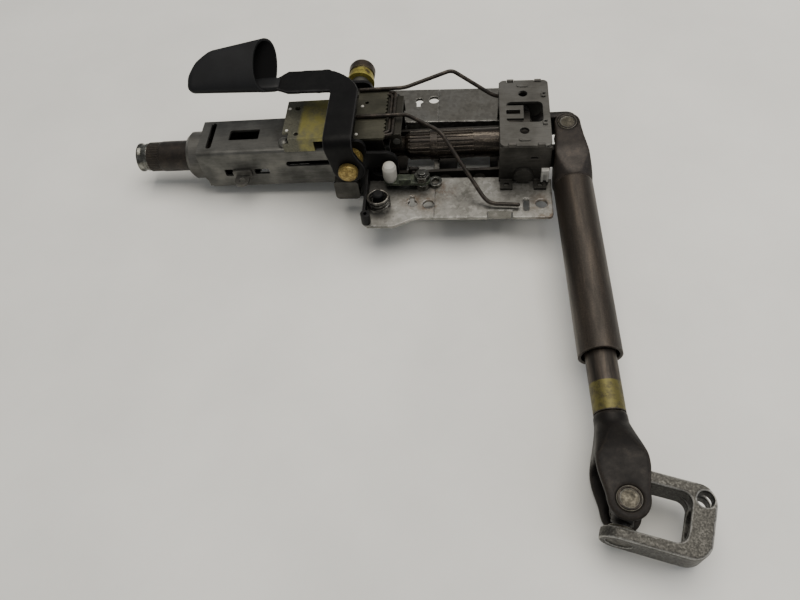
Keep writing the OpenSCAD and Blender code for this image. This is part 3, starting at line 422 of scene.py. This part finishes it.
def painted_shaft():
    """Oiled phosphate on a drawn shaft, with a worn band of yellow marking paint above the yoke."""
    material, tree, shader, place = begin("phosphate_with_paint_band", 0.5)
    streaks = noise(tree, stretched(tree, place, TUBE_AXIS, 0.1), 3, 6.0, 0.6)
    tooth = noise(tree, place, TOOTH, 4.0)
    steel = ramp(tree, streaks, (0.35, "#231f1a"), (0.5, "#342e28"), (0.65, "#473f36"))
    scuffs = noise(tree, place, 5, 8.0, 0.75)
    kept = ramp(tree, scuffs, (0.38, 0.3), (0.56, 0.95))
    level = level_along(tree, place, UPPER_JOINT, TUBE_AXIS)
    paint = multiply(tree, kept, band(tree, level, *PAINT_BAND))
    colour = lay_over(tree, steel, paint, "#625c2c")
    rough = ramp(tree, scuffs, (0.35, 0.55), (0.65, 0.38))
    finish_surface(tree, shader, colour, rough, tooth, 0.04, edge=(0.8, "#7b7268", 0.5))
    return material


GALVANISED = galvanised_sheet()
COVER_ZINC = zinc_plated_sheet("zinc_plated_cover", "#34322e", "#53524e", "#72716d")
HOUSING_ZINC = zinc_plated_sheet("zinc_plated_housing", "#2e2c29", "#52524f", "#75746f")
GUIDE_ZINC = zinc_plated_sheet("greased_zinc_guide", "#14120f", "#2b2926", "#4d4a45")
BRIDGE_ZINC = zinc_plated_sheet("olive_zinc_bridge", "#22211b", "#403f35", "#5d5b4e")
# Painted shade: a darker copy of the cover's zinc plate for the box's sides, pins and block that sit in shade
SHADED_BOX_SIDES = zinc_plated_sheet("shade_darkened_zinc_sides", "#1c1b18", "#34332f", "#5b5955", LIT_TOP_ABOVE)
TUBE_PHOSPHATE = mottled_steel("oiled_phosphate_tube", metallic=0.55, tones=("#25211c", "#342e28", "#463e35"),
                               patch=7, rough=(0.5, 0.36), edge=(1.6, "#7d746a", 0.7), axis=TUBE_AXIS)
DARK_TONES = ("#0f0d0c", "#161311", "#211d19")
SOFT_EDGE = (3.0, "#4a433c", 0.5)
TUBE_FORGING = mottled_steel("oiled_phosphate_fork", metallic=0.5, tones=("#1a1613", "#241f1b", "#322b25"),
                             patch=8, rough=(0.52, 0.38), edge=SOFT_EDGE, depth=0.08,
                             cup=(UPPER_JOINT, TUBE_PIN), rounded=True)
YOKE_FORGING = mottled_steel("oiled_phosphate_yoke", metallic=0.4, tones=DARK_TONES, patch=8,
                             rough=(0.56, 0.42), edge=SOFT_EDGE, depth=0.08, specular=0.3,
                             cup=(LOWER_JOINT, TUBE_PIN), rounded=True)
DARK_FORGING = mottled_steel("oiled_phosphate_cross", metallic=0.45, tones=DARK_TONES, patch=8,
                             rough=(0.52, 0.38), edge=SOFT_EDGE, depth=0.08)
SHAFT_OXIDE = mottled_steel("oxidised_shaft", metallic=0.5, tones=("#1d1916", "#28231e", "#3a332c"), patch=6,
                            rough=(0.5, 0.34), edge=(0.7, "#6a6258", 0.7), depth=0.05)
COAT_TONES = ("#050506", "#09090a", "#121211")
# Paler edges of the black coat: rubbed paint, and a painted highlight along the strap's rolled edges
COAT_EDGE_WEAR_AND_HIGHLIGHT = (0.9, "#4a494a", 0.8)
STRAP_COAT = mottled_steel("rubbed_and_highlit_black_electrocoat", metallic=0.0, tones=COAT_TONES, patch=12,
                           rough=(0.55, 0.38), edge=COAT_EDGE_WEAR_AND_HIGHLIGHT, depth=0.03, specular=0.12, rounded=True)
BLACK_COAT = mottled_steel("black_electrocoat", metallic=0.0, tones=COAT_TONES, patch=12, rough=(0.55, 0.38),
                           edge=COAT_EDGE_WEAR_AND_HIGHLIGHT, depth=0.03, specular=0.18)
FORGED = mottled_steel("bare_forged_steel", metallic=0.7, tones=("#2b2a27", "#403f3b", "#5e5d58"), patch=1.3,
                       rough=(0.55, 0.38), edge=(1.3, "#cfcec8", 1.0), depth=0.12,
                       cup=(LOWER_JOINT, CLAMP_PIN), rounded=True)
CUP_STEEL = mottled_steel("ground_cup_steel", metallic=0.8, tones=("#2b2923", "#423f37", "#635f54"), patch=3,
                          rough=(0.5, 0.3), edge=(0.8, "#d6d3c8", 0.9), depth=0.05)
BRIGHT = mottled_steel("bright_turned_steel", metallic=0.95, tones=("#353531", "#5c5c57", "#8f8f89"), patch=6,
                       rough=(0.26, 0.12), edge=(0.5, "#e2e2de", 0.9), depth=0.02)
GOLD_CHROMATE = mottled_steel("gold_chromate_plate", metallic=0.7, tones=("#57492b", "#7f6c3c", "#a8955c"),
                              patch=3, rough=(0.5, 0.3), edge=(1.2, "#cdbb5e", 0.8))
NUT_YELLOW = two_tone_nut()
COIL_WIRE = mottled_steel("rubbed_spring_coil", metallic=0.85, tones=("#2e2c29", "#55534e", "#8a8882"),
                          patch=3, rough=(0.4, 0.24), edge=(0.4, "#b5b3ac", 0.8))
SPRING_WIRE = mottled_steel("oil_hardened_wire", metallic=0.5, tones=("#191613", "#2a2520", "#4a423a"),
                            patch=6, rough=(0.46, 0.32), edge=(0.4, "#6b6258", 0.4))
OLIVE_CHROMATE = mottled_steel("olive_chromate_plate", metallic=0.35, tones=("#1f231d", "#333a2f", "#555c4b"),
                               patch=5, rough=(0.5, 0.34), edge=(0.6, "#a3a79a", 0.9))
GREASY_SHAFT = mottled_steel("greased_ribbed_shaft", metallic=0.55, tones=("#14100d", "#2b251f", "#6a6257"),
                             patch=4, rough=(0.46, 0.24), edge=(0.4, "#8d8579", 0.8), depth=0.05, axis=ALONG)
CHARCOAL_ABS = moulded_plastic("charcoal_moulded_abs", "#0e0f11", "#161719", grain=0.9, depth=0.04,
                               rough=0.55, specular=0.24)
WHITE_NYLON = moulded_plastic("white_moulded_nylon", "#a7a59d", "#c9c8c2", grain=1.5, depth=0.02,
                              rough=0.45, specular=0.5)
CREAM_NYLON = moulded_plastic("cream_moulded_nylon", "#7d7869", "#9c9786", grain=1.5, depth=0.02,
                              rough=0.5, specular=0.5)
HAT_PLATE = chromated_hat()
PAINTED_SHAFT = painted_shaft()

FINISHES = {
    GALVANISED: ("mounting_bracket",),
    COVER_ZINC: ("box_cover", "bearing_collar", "housing_ear"),
    HOUSING_ZINC: ("upper_housing", "stop_buffer", "cross_rod", "clamp_spacers"),
    SHADED_BOX_SIDES: ("box_frame", "pivot_pins", "support_block"),
    GUIDE_ZINC: ("guide_channel",),
    BRIDGE_ZINC: ("spring_bridge",),
    BLACK_COAT: ("front_cheek", "rear_cheek", "front_gusset", "lever_strap", "bearing_ring", "spring_post"),
    TUBE_PHOSPHATE: ("outer_tube",),
    TUBE_FORGING: ("tube_fork",),
    YOKE_FORGING: ("lower_yoke",),
    DARK_FORGING: ("column_fork", "upper_cross", "lower_cross", "pawl_tab"),
    SHAFT_OXIDE: ("wheel_shaft",),
    PAINTED_SHAFT: ("inner_shaft",),
    FORGED: ("clamp_fork",),
    CUP_STEEL: ("column_cups", "tube_cups", "yoke_cups", "clamp_cups"),
    BRIGHT: ("end_ring", "pawl_stud", "lower_bearing_outer", "lower_bearing_balls", "lower_bearing_inner",
             "upper_bearing_outer", "upper_bearing_balls", "upper_bearing_inner"),
    HAT_PLATE: ("lock_hat",),
    GOLD_CHROMATE: ("clamp_bolt", "fixed_cam", "moving_cam"),
    NUT_YELLOW: ("clamp_nut",),
    SPRING_WIRE: ("coil_spring", "rear_spring_wire", "front_spring_wire"),
    OLIVE_CHROMATE: ("pawl_lever",),
    GREASY_SHAFT: ("ribbed_shaft", "slip_ring"),
    CHARCOAL_ABS: ("lever_paddle",),
    WHITE_NYLON: ("buffer_cap", "box_clip"),
    CREAM_NYLON: ("slide_pads", "shaft_bush", "slider_sleeve"),
}


def dress_solids():
    """Every solid wears its finish in all of its material slots."""
    for material, names in FINISHES.items():
        for name in names:
            for slot in nodes[name].material_slots:
                slot.material = material


dress_solids()


# Surfaces that pieces are made of

# Points closer than the first, in metres, are one point, and an edge shorter than the second has no length
WELD = 1e-6
NO_LENGTH = 1e-7
SHARP_TURN = math.radians(40)


def in_column(u, y, w):
    """A place given in millimetres along, across and above the column's axis from the rake pivot."""
    u, y, w = np.broadcast_arrays(u, y, w)
    return PIVOT + (u[..., None] * ALONG + y[..., None] * ACROSS + w[..., None] * ABOVE) * MM


def full_turn(sides):
    """Angles of a full turn in so many steps, the last step leading back to the first angle."""
    return np.linspace(0.0, 2 * math.pi, sides, endpoint=False)


def weld(mesh, shell=False):
    """Makes one point of points that lie together. A shell also loses empty faces and faces outwards."""
    tidy = bmesh.new()
    tidy.from_mesh(mesh)
    bmesh.ops.remove_doubles(tidy, verts=tidy.verts, dist=WELD)
    if shell:
        bmesh.ops.dissolve_degenerate(tidy, edges=tidy.edges, dist=NO_LENGTH)
        bmesh.ops.recalc_face_normals(tidy, faces=tidy.faces)
    tidy.to_mesh(mesh)
    tidy.free()


def keep_value(mesh, name, values):
    """A number from 0 to 1 for each point of a mesh, kept in an attribute for its finish."""
    kept = mesh.attributes.new(name, "FLOAT", "POINT")
    kept.data.foreach_set("value", values.astype(np.float32))


def smooth(mesh):
    """All faces of a mesh are shaded as one curved skin."""
    mesh.polygons.foreach_set("use_smooth", np.ones(len(mesh.polygons), dtype=bool))


def add_surface(name, grid, material, body, shade=None):
    """A grid of points (rows by columns) as quads: columns close round, rows run from end to end.

    A shade for each row, if given, is kept in the shade attribute."""
    rows, columns = grid.shape[:2]
    row, column = np.meshgrid(np.arange(rows - 1), np.arange(columns), indexing="ij")
    after = (column + 1) % columns
    quads = np.stack([row * columns + column, row * columns + after,
                      (row + 1) * columns + after, (row + 1) * columns + column], axis=-1).reshape(-1, 4)
    mesh = bpy.data.meshes.new(name)
    mesh.from_pydata(grid.reshape(-1, 3).tolist(), [], quads.tolist())
    if shade is not None:
        keep_value(mesh, "shade", np.repeat(shade, columns))
    weld(mesh, shell=True)
    smooth(mesh)
    mesh.set_sharp_from_angle(angle=SHARP_TURN)
    mesh.materials.append(material)
    piece = bpy.data.objects.new(name, mesh)
    bpy.context.scene.collection.objects.link(piece)
    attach(piece, body)
    return piece


def rounded_route(corners, setback, steps=9):
    """Straight runs between corners, each corner a quadratic curve between points set back from it."""
    before, at, after = corners[:-2], corners[1:-1], corners[2:]
    start = at - setback * unit(at - before)
    stop = at + setback * unit(after - at)
    t = np.linspace(0.0, 1.0, steps)[None, :, None]
    bends = (1 - t) ** 2 * start[:, None] + 2 * t * (1 - t) * at[:, None] + t ** 2 * stop[:, None]
    return np.vstack([corners[:1], bends.reshape(-1, 3), corners[-1:]])


def wire_grid(path, radius, sides=16, dome=4):
    """A circle carried along a path, its plane square to the path, with a half ball at each end."""
    heading = unit(np.gradient(path, axis=0))
    bulge = np.linspace(0.0, math.pi / 2, dome + 1)[1:]
    ends = np.sin(bulge)[:, None] * radius
    path = np.vstack([path[0] - heading[0] * ends[::-1], path, path[-1] + heading[-1] * ends])
    size = np.concatenate([np.cos(bulge[::-1]), np.ones(len(heading)), np.cos(bulge)]) * radius
    first, last = (np.repeat(end, dome, axis=0) for end in (heading[:1], heading[-1:]))
    heading = np.vstack([first, heading, last])
    side = unit(np.cross(heading, [0.0, 0.0, 1.0]))
    lift = np.cross(side, heading)
    turn = full_turn(sides)[None, :, None]
    return path[:, None] + size[:, None, None] * (np.cos(turn) * side[:, None] + np.sin(turn) * lift[:, None])


def turned_grid(place, axis, profile, sides=48):
    """A profile of (radius, height) points in millimetres, turned about an axis through a place."""
    side = unit(np.cross(axis, [0.0, 0.0, 1.0] if abs(axis[2]) < 0.9 else [1.0, 0.0, 0.0]))
    lift = np.cross(axis, side)
    turn = full_turn(sides)[None, :, None]
    radius, height = np.array(profile, dtype=float).T * MM
    rim = np.cos(turn) * side + np.sin(turn) * lift
    return place + height[:, None, None] * axis + radius[:, None, None] * rim


def box_round(sides, power):
    """A rounded box: cosine and sine of a full turn, their sizes raised to a power below one."""
    turn = full_turn(sides)[None, :]
    across = np.sign(np.cos(turn)) * np.abs(np.cos(turn)) ** power
    through = np.sign(np.sin(turn)) * np.abs(np.sin(turn)) ** power
    return across, through


# Forgings and the strap, with rounded edges: the net's width and the depth of full wear, in millimetres
NET = 0.6
FULL_WEAR = 0.5


def softened(points, ends, steps):
    """Points after some steps, each of which moves every point halfway to the mean of its neighbours."""
    start, stop = np.concatenate([ends, ends[:, ::-1]]).T
    count = len(points)
    neighbours = np.bincount(start, minlength=count)[:, None]
    for _ in range(steps):
        totals = [np.bincount(start, weights=places[stop], minlength=count) for places in points.T]
        points = (points + np.stack(totals, axis=-1) / neighbours) / 2
    return points


def clear_of_bore(points, place, axis, radius):
    """Points nearer to an axis through a place than a radius in millimetres go straight out to it."""
    spoke = points - place
    spoke = spoke - np.outer(spoke @ axis, axis)
    far = np.linalg.norm(spoke, axis=-1, keepdims=True)
    return points + spoke / far * np.maximum(radius * MM - far, 0.0)


def fine_net(piece):
    """The skin of a piece as an even net of quads."""
    net = piece.modifiers.new("net", "REMESH")
    net.mode = "VOXEL"
    net.voxel_size = NET * MM
    skin = bpy.data.meshes.new_from_object(piece.evaluated_get(bpy.context.evaluated_depsgraph_get()))
    piece.modifiers.clear()
    return skin


def round_off(solid, material, body, steps, bore=None):
    """The skin of a solid on a fine net, softened in steps, so that sharp edges turn into a forging's.

    How far a point went inwards is its wear. A bore, given by place, axis and radius, is kept clear."""
    mesh = nodes[solid].data.copy()
    weld(mesh)
    piece = bpy.data.objects.new("rounded_" + solid, mesh)
    bpy.context.scene.collection.objects.link(piece)
    skin = fine_net(piece)
    piece.data = skin
    points = read(skin.vertices, "co", 3)
    normals = read(skin.vertex_normals, "vector", 3, np.float32)
    moved = softened(points, read(skin.edges, "vertices", 2, np.int32), steps)
    if bore:
        moved = clear_of_bore(moved, *bore)
    inwards = -np.sum((moved - points) * normals, axis=-1)
    skin.vertices.foreach_set("co", moved.ravel())
    keep_value(skin, "wear", np.clip(inwards / (FULL_WEAR * MM), 0.0, 1.0))
    smooth(skin)
    skin.update()
    skin.materials.clear()
    skin.materials.append(material)
    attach(piece, body)
    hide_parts(solid)


def forgings():
    """The forks, the yoke and the pressed strap, with their edges rounded off."""
    round_off("tube_fork", TUBE_FORGING, "tube", steps=24)
    round_off("lower_yoke", YOKE_FORGING, "inner", steps=24)
    round_off("clamp_fork", FORGED, "pinion_fork", steps=10)
    round_off("lever_strap", STRAP_COAT, "lever", steps=8, bore=(BOLT, ACROSS, STRAP_BORE))


# Balance springs, in millimetres: each wire's line across, its first bend behind the bolt, its other corners
WIRE_START = 4.0
WIRE_BEND = 4.0
WIRES = (("rear_spring_wire", 25.0, 38.0,
          ((-25, 37, 47.5), (7, 30.3, 28), (16.5, 30.3, 26.6))),
         ("front_spring_wire", -5.0, 41.0,
          ((-32, -23, 41), (0, -57.5, 7.6), (5, -60.6, 5.9), (24, -61.6, 5.7))))
# The turns' wire: its radius, its bends, its depth under the bridge's top, and where its hooks and loops lie
TURN_WIRE_R = 1.2
TURN_BEND = 2.2
TURN_DEPTH = 1.15
TURN_HOOK = 24.6
NEAR_TURN = 28.6
FAR_TURN = 31.2
TURN_SIDES = np.array([22.0, 20.5, -19.5, -21.0])


def spring_wires():
    """The balance springs' legs: bent wire from the bridge over the column to the box and the front wing."""
    for name, y, bend, corners in WIRES:
        start = in_column(BOLT_U + np.array([WIRE_START, bend]), y, BRIDGE_TOP + WIRE_R + CLEARANCE)
        route = rounded_route(np.vstack([start, np.array(corners) * MM]), WIRE_BEND * MM)
        grid = wire_grid(route, WIRE_R * MM)
        piece = add_surface("round_" + name, grid, SPRING_WIRE, "guide")
        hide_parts(name)


def spring_turns():
    """Two turns of the balance spring, seen behind the bridge: wire loops hooked into the bridge's edge."""
    for name, reach in (("near_spring_turn", NEAR_TURN), ("far_spring_turn", FAR_TURN)):
        u = BOLT_U + np.array([TURN_HOOK, reach, reach, TURN_HOOK])
        y = TURN_SIDES + (reach - NEAR_TURN) * np.sign(TURN_SIDES)
        route = rounded_route(in_column(u, y, BRIDGE_TOP - TURN_DEPTH), TURN_BEND * MM)
        add_surface(name, wire_grid(route, TURN_WIRE_R * MM), SPRING_WIRE, "guide")


def pawl_spring():
    """A helix of three turns on its post: the angle and the height grow together."""
    turns, steps, coil_r, pitch, wire_r = 3, 40, 7.5, 3.2, 1.1
    low, high = np.array(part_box("spring_post")) / MM
    seat = np.array([*(low + high)[:2] / 2, low[2]])
    angle = np.linspace(0.0, turns * 2 * math.pi, turns * steps)
    rise = wire_r + CLEARANCE + pitch * angle / (2 * math.pi)
    path = seat + np.stack([coil_r * np.cos(angle), coil_r * np.sin(angle), rise], axis=-1)
    grid = wire_grid(path * MM, wire_r * MM, sides=12)
    piece = add_surface("round_coil_spring", grid, COIL_WIRE, "bracket")
    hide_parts("coil_spring")


# The grip's root in the column, in millimetres, and its tilt about the column's direction
PADDLE_DROP = 1.9
PADDLE_ROOT = np.array([-185.0, 12.0, STRAP_TOP - PADDLE_DROP])
PADDLE_TILT = math.radians(30)
# Distances from the root, and there the far edge, the near edge and half the thickness
PADDLE_RUN = (-66.5, -66.2, -65.6, -64.2, -61.8, -60.6, -59.3, -54.8, -50.4, -47.0, 0.0, 4.0)
PADDLE_FAR = (10.5, 13.4, 15.2, 18.0, 22.6, 24.6, 26.4, 30.2, 33.4, 34.7, 43.2, 43.3)
PADDLE_NEAR = (8.5, 6.2, 4.9, 3.4, 2.5, 2.45, 2.4, 2.2, 2.0, 1.9, 0.1, 0.1)
PADDLE_HALF = (0.1, 1.6, 2.9, 4.1, 4.7, 4.8, 4.85, 5.05, 5.25, 5.4, 7.3, 7.3)
PADDLE_WALL = 2.2
# Powers that round the sections off, at the tip and at the mouth
TIP_POWER = 0.6
MOUTH_POWER = 0.9
# The mouth's middle and how far the slant moves it, and the share of the run where the hollow ends
MOUTH = -6.0
MOUTH_SLANT = 7.4
BLIND_END = 0.3


def clamp_paddle():
    """A hollow grip: rounded-box sections run from the blunt tip to a mouth that is cut on a slant.

    The outside runs from the tip, where its rows crowd, to the mouth, turns over the rim and goes back inside
    to a blind end. The first and the last row shrink to a point, so both ends are closed."""
    outer_rows, inner_rows, sides, crowding = 56, 12, 72, 1.5
    outside = np.linspace(0.0, 1.0, outer_rows) ** crowding
    inside = np.linspace(1.0, BLIND_END, inner_rows)
    run = np.concatenate([[0.0], outside, inside, [BLIND_END]])[:, None]
    within = (np.arange(len(run)) > outer_rows).astype(float)
    skin = PADDLE_WALL * within[:, None]
    spread = np.ones_like(run)
    spread[[0, -1]] = 0.0
    across, through = box_round(sides, TIP_POWER + (MOUTH_POWER - TIP_POWER) * run)
    mouth = MOUTH - MOUTH_SLANT * through
    reach = PADDLE_RUN[0] + run * (mouth - PADDLE_RUN[0])
    far = np.interp(reach, PADDLE_RUN, PADDLE_FAR)
    near = np.interp(reach, PADDLE_RUN, PADDLE_NEAR)
    half = np.interp(reach, PADDLE_RUN, PADDLE_HALF)
    b = (far + near) / 2 + ((far - near) / 2 - skin) * spread * across
    c = (half - skin) * spread * through
    tilted_y = b * math.cos(PADDLE_TILT) - c * math.sin(PADDLE_TILT)
    tilted_w = b * math.sin(PADDLE_TILT) + c * math.cos(PADDLE_TILT)
    grid = in_column(PADDLE_ROOT[0] + reach, PADDLE_ROOT[1] + tilted_y, PADDLE_ROOT[2] + tilted_w)
    # The inside rows carry the shade attribute: painted shade that darkens the grip's hollow
    piece = add_surface("clamp_paddle", grid, CHARCOAL_ABS, "lever", within)
    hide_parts("lever_paddle")


# The socket's line across, distances from the grip's root, and there half its width and half its thickness
SOCKET_Y = 19.8
SOCKET_RUN = np.array([-26.0, -26.0, -8.0, 1.0, 4.5, 5.0, 5.0])
SOCKET_WIDE = np.array([0.0, 4.6, 6.4, 6.4, 5.6, 4.8, 0.0])
SOCKET_THICK = np.array([0.0, 2.2, 2.8, 2.8, 2.4, 2.0, 0.0])


def strap_socket():
    """A moulded socket where the strap enters the grip: rounded-box sections that narrow towards the strap.

    The first and the last section shrink to a point, so both ends are closed."""
    sides, power = 48, 0.5
    across, through = box_round(sides, power)
    grid = in_column(PADDLE_ROOT[0] + SOCKET_RUN[:, None], SOCKET_Y + SOCKET_WIDE[:, None] * across,
                     STRAP_TOP - STRAP_HALF + SOCKET_THICK[:, None] * through)
    add_surface("strap_socket", grid, CHARCOAL_ABS, "lever")


def snap_rings():
    """A ring of round wire on the rim of each bearing cup: a small circle turned about the pin's axis."""
    ring_r, wire_r, cup_rim = CUP_R - 1.0, 0.6, 18.4
    turn = np.linspace(0.0, 2 * math.pi, 13)
    profile = np.stack([ring_r + wire_r * np.cos(turn), cup_rim + wire_r * np.sin(turn)], axis=-1)
    cups = (("shaft", "lower_shaft", UPPER_JOINT, SHAFT_PIN), ("tube", "tube", UPPER_JOINT, TUBE_PIN),
            ("yoke", "inner", LOWER_JOINT, TUBE_PIN), ("clamp", "pinion_fork", LOWER_JOINT, CLAMP_PIN))
    for label, body, centre, pin in cups:
        for end, way in (("near", -1.0), ("far", 1.0)):
            grid = turned_grid(centre, pin * way, profile)
            add_surface("_".join((label, end, "snap_ring")), grid, SPRING_WIRE, body)


# Places of the pips along and across the column, in millimetres, with the height that each stands on
PIPS = (("hat_rear", "upper_jacket", (-175.6, 12.4, HAT_TOP)),
        ("hat_front", "upper_jacket", (-174.7, -11.8, HAT_TOP)),
        ("bridge_rear", "guide", (-118.4, 8.2, BRIDGE_TOP)),
        ("bridge_front", "guide", (-120.3, -22.1, BRIDGE_TOP)))


def locating_pips():
    """Low white domes on the hat and the bridge: a quarter ellipse turned about the line above each."""
    head_r, head_h, root, pole = 1.3, 0.8, -0.2, 1e-4
    turn = np.linspace(0.0, math.pi / 2, 8)
    dome = np.stack([head_r * np.cos(turn), head_h * np.sin(turn)], axis=-1)
    profile = np.vstack([[pole, root], [head_r, root], dome])
    for label, body, spot in PIPS:
        grid = turned_grid(in_column(*np.array(spot)), ABOVE, profile, sides=24)
        add_surface(label + "_pip", grid, WHITE_NYLON, body)


forgings()
spring_wires()
spring_turns()
pawl_spring()
clamp_paddle()
strap_socket()
snap_rings()
locating_pips()


# Floor and light, in metres
FLOOR_HALF = 3.0
LIT_PLACE = (0.0, -0.1, 0.0)


def floor_paint():
    """Matt pale paint, rolled on: broad faint clouds of tone over a fine orange-peel grain."""
    material, tree, shader, place = begin("pale_floor_paint", 0.0, 0.2)
    clouds = noise(tree, place, 150, 7.0, 0.6)
    grain = noise(tree, place, 3, 3.0)
    colour = ramp(tree, clouds, (0.3, "#e6e6e1"), (0.7, "#f3f3ee"))
    tree.links.new(colour, shader.inputs["Base Color"])
    rough = ramp(tree, clouds, (0.3, 0.7), (0.7, 0.5))
    tree.links.new(rough, shader.inputs["Roughness"])
    bump = add(tree, "Bump", {"Height": grain}, {"Strength": 0.3, "Distance": 0.1 * MM})
    tree.links.new(bump.outputs["Normal"], shader.inputs["Normal"])
    return material


def add_floor():
    """A wide flat floor at the height of the part's lowest point."""
    low = solid_box[0][2]
    corners = np.array([(-1.0, -1.0), (1.0, -1.0), (1.0, 1.0), (-1.0, 1.0)]) * FLOOR_HALF
    mesh = bpy.data.meshes.new("floor")
    mesh.from_pydata([(*corner, low) for corner in corners.tolist()], [], [(0, 1, 2, 3)])
    mesh.materials.append(floor_paint())
    floor = bpy.data.objects.new("floor", mesh)
    bpy.context.scene.collection.objects.link(floor)


def add_light(name, place, size, power, tint):
    """A square soft box at a place, facing the point that the lights share."""
    lamp = bpy.data.lights.new(name, "AREA")
    lamp.size = size
    lamp.energy = power
    lamp.color = linear(tint)[:3]
    light = bpy.data.objects.new(name, lamp)
    back = unit(np.array(place) - np.array(LIT_PLACE))
    side = unit(np.cross([0.0, 1.0, 0.0], back))
    turned = np.eye(4)
    turned[:3] = np.stack([side, np.cross(back, side), back, place], axis=-1)
    light.matrix_world = Matrix(turned.tolist())
    bpy.context.scene.collection.objects.link(light)


def add_world():
    """Even pale light from all round."""
    world = bpy.data.worlds.new("studio")
    world.use_nodes = True
    background = world.node_tree.nodes["Background"]
    background.inputs["Color"].default_value = linear("#e6e7e8")
    background.inputs["Strength"].default_value = 0.4
    bpy.context.scene.world = world


add_floor()
add_light("soft_ceiling", place=(0.15, 0.15, 1.5), size=1.5, power=25.0, tint="#fff8ee")
add_light("soft_window", place=(1.3, -0.3, 0.9), size=0.9, power=4.0, tint="#f4f6ff")
add_world()
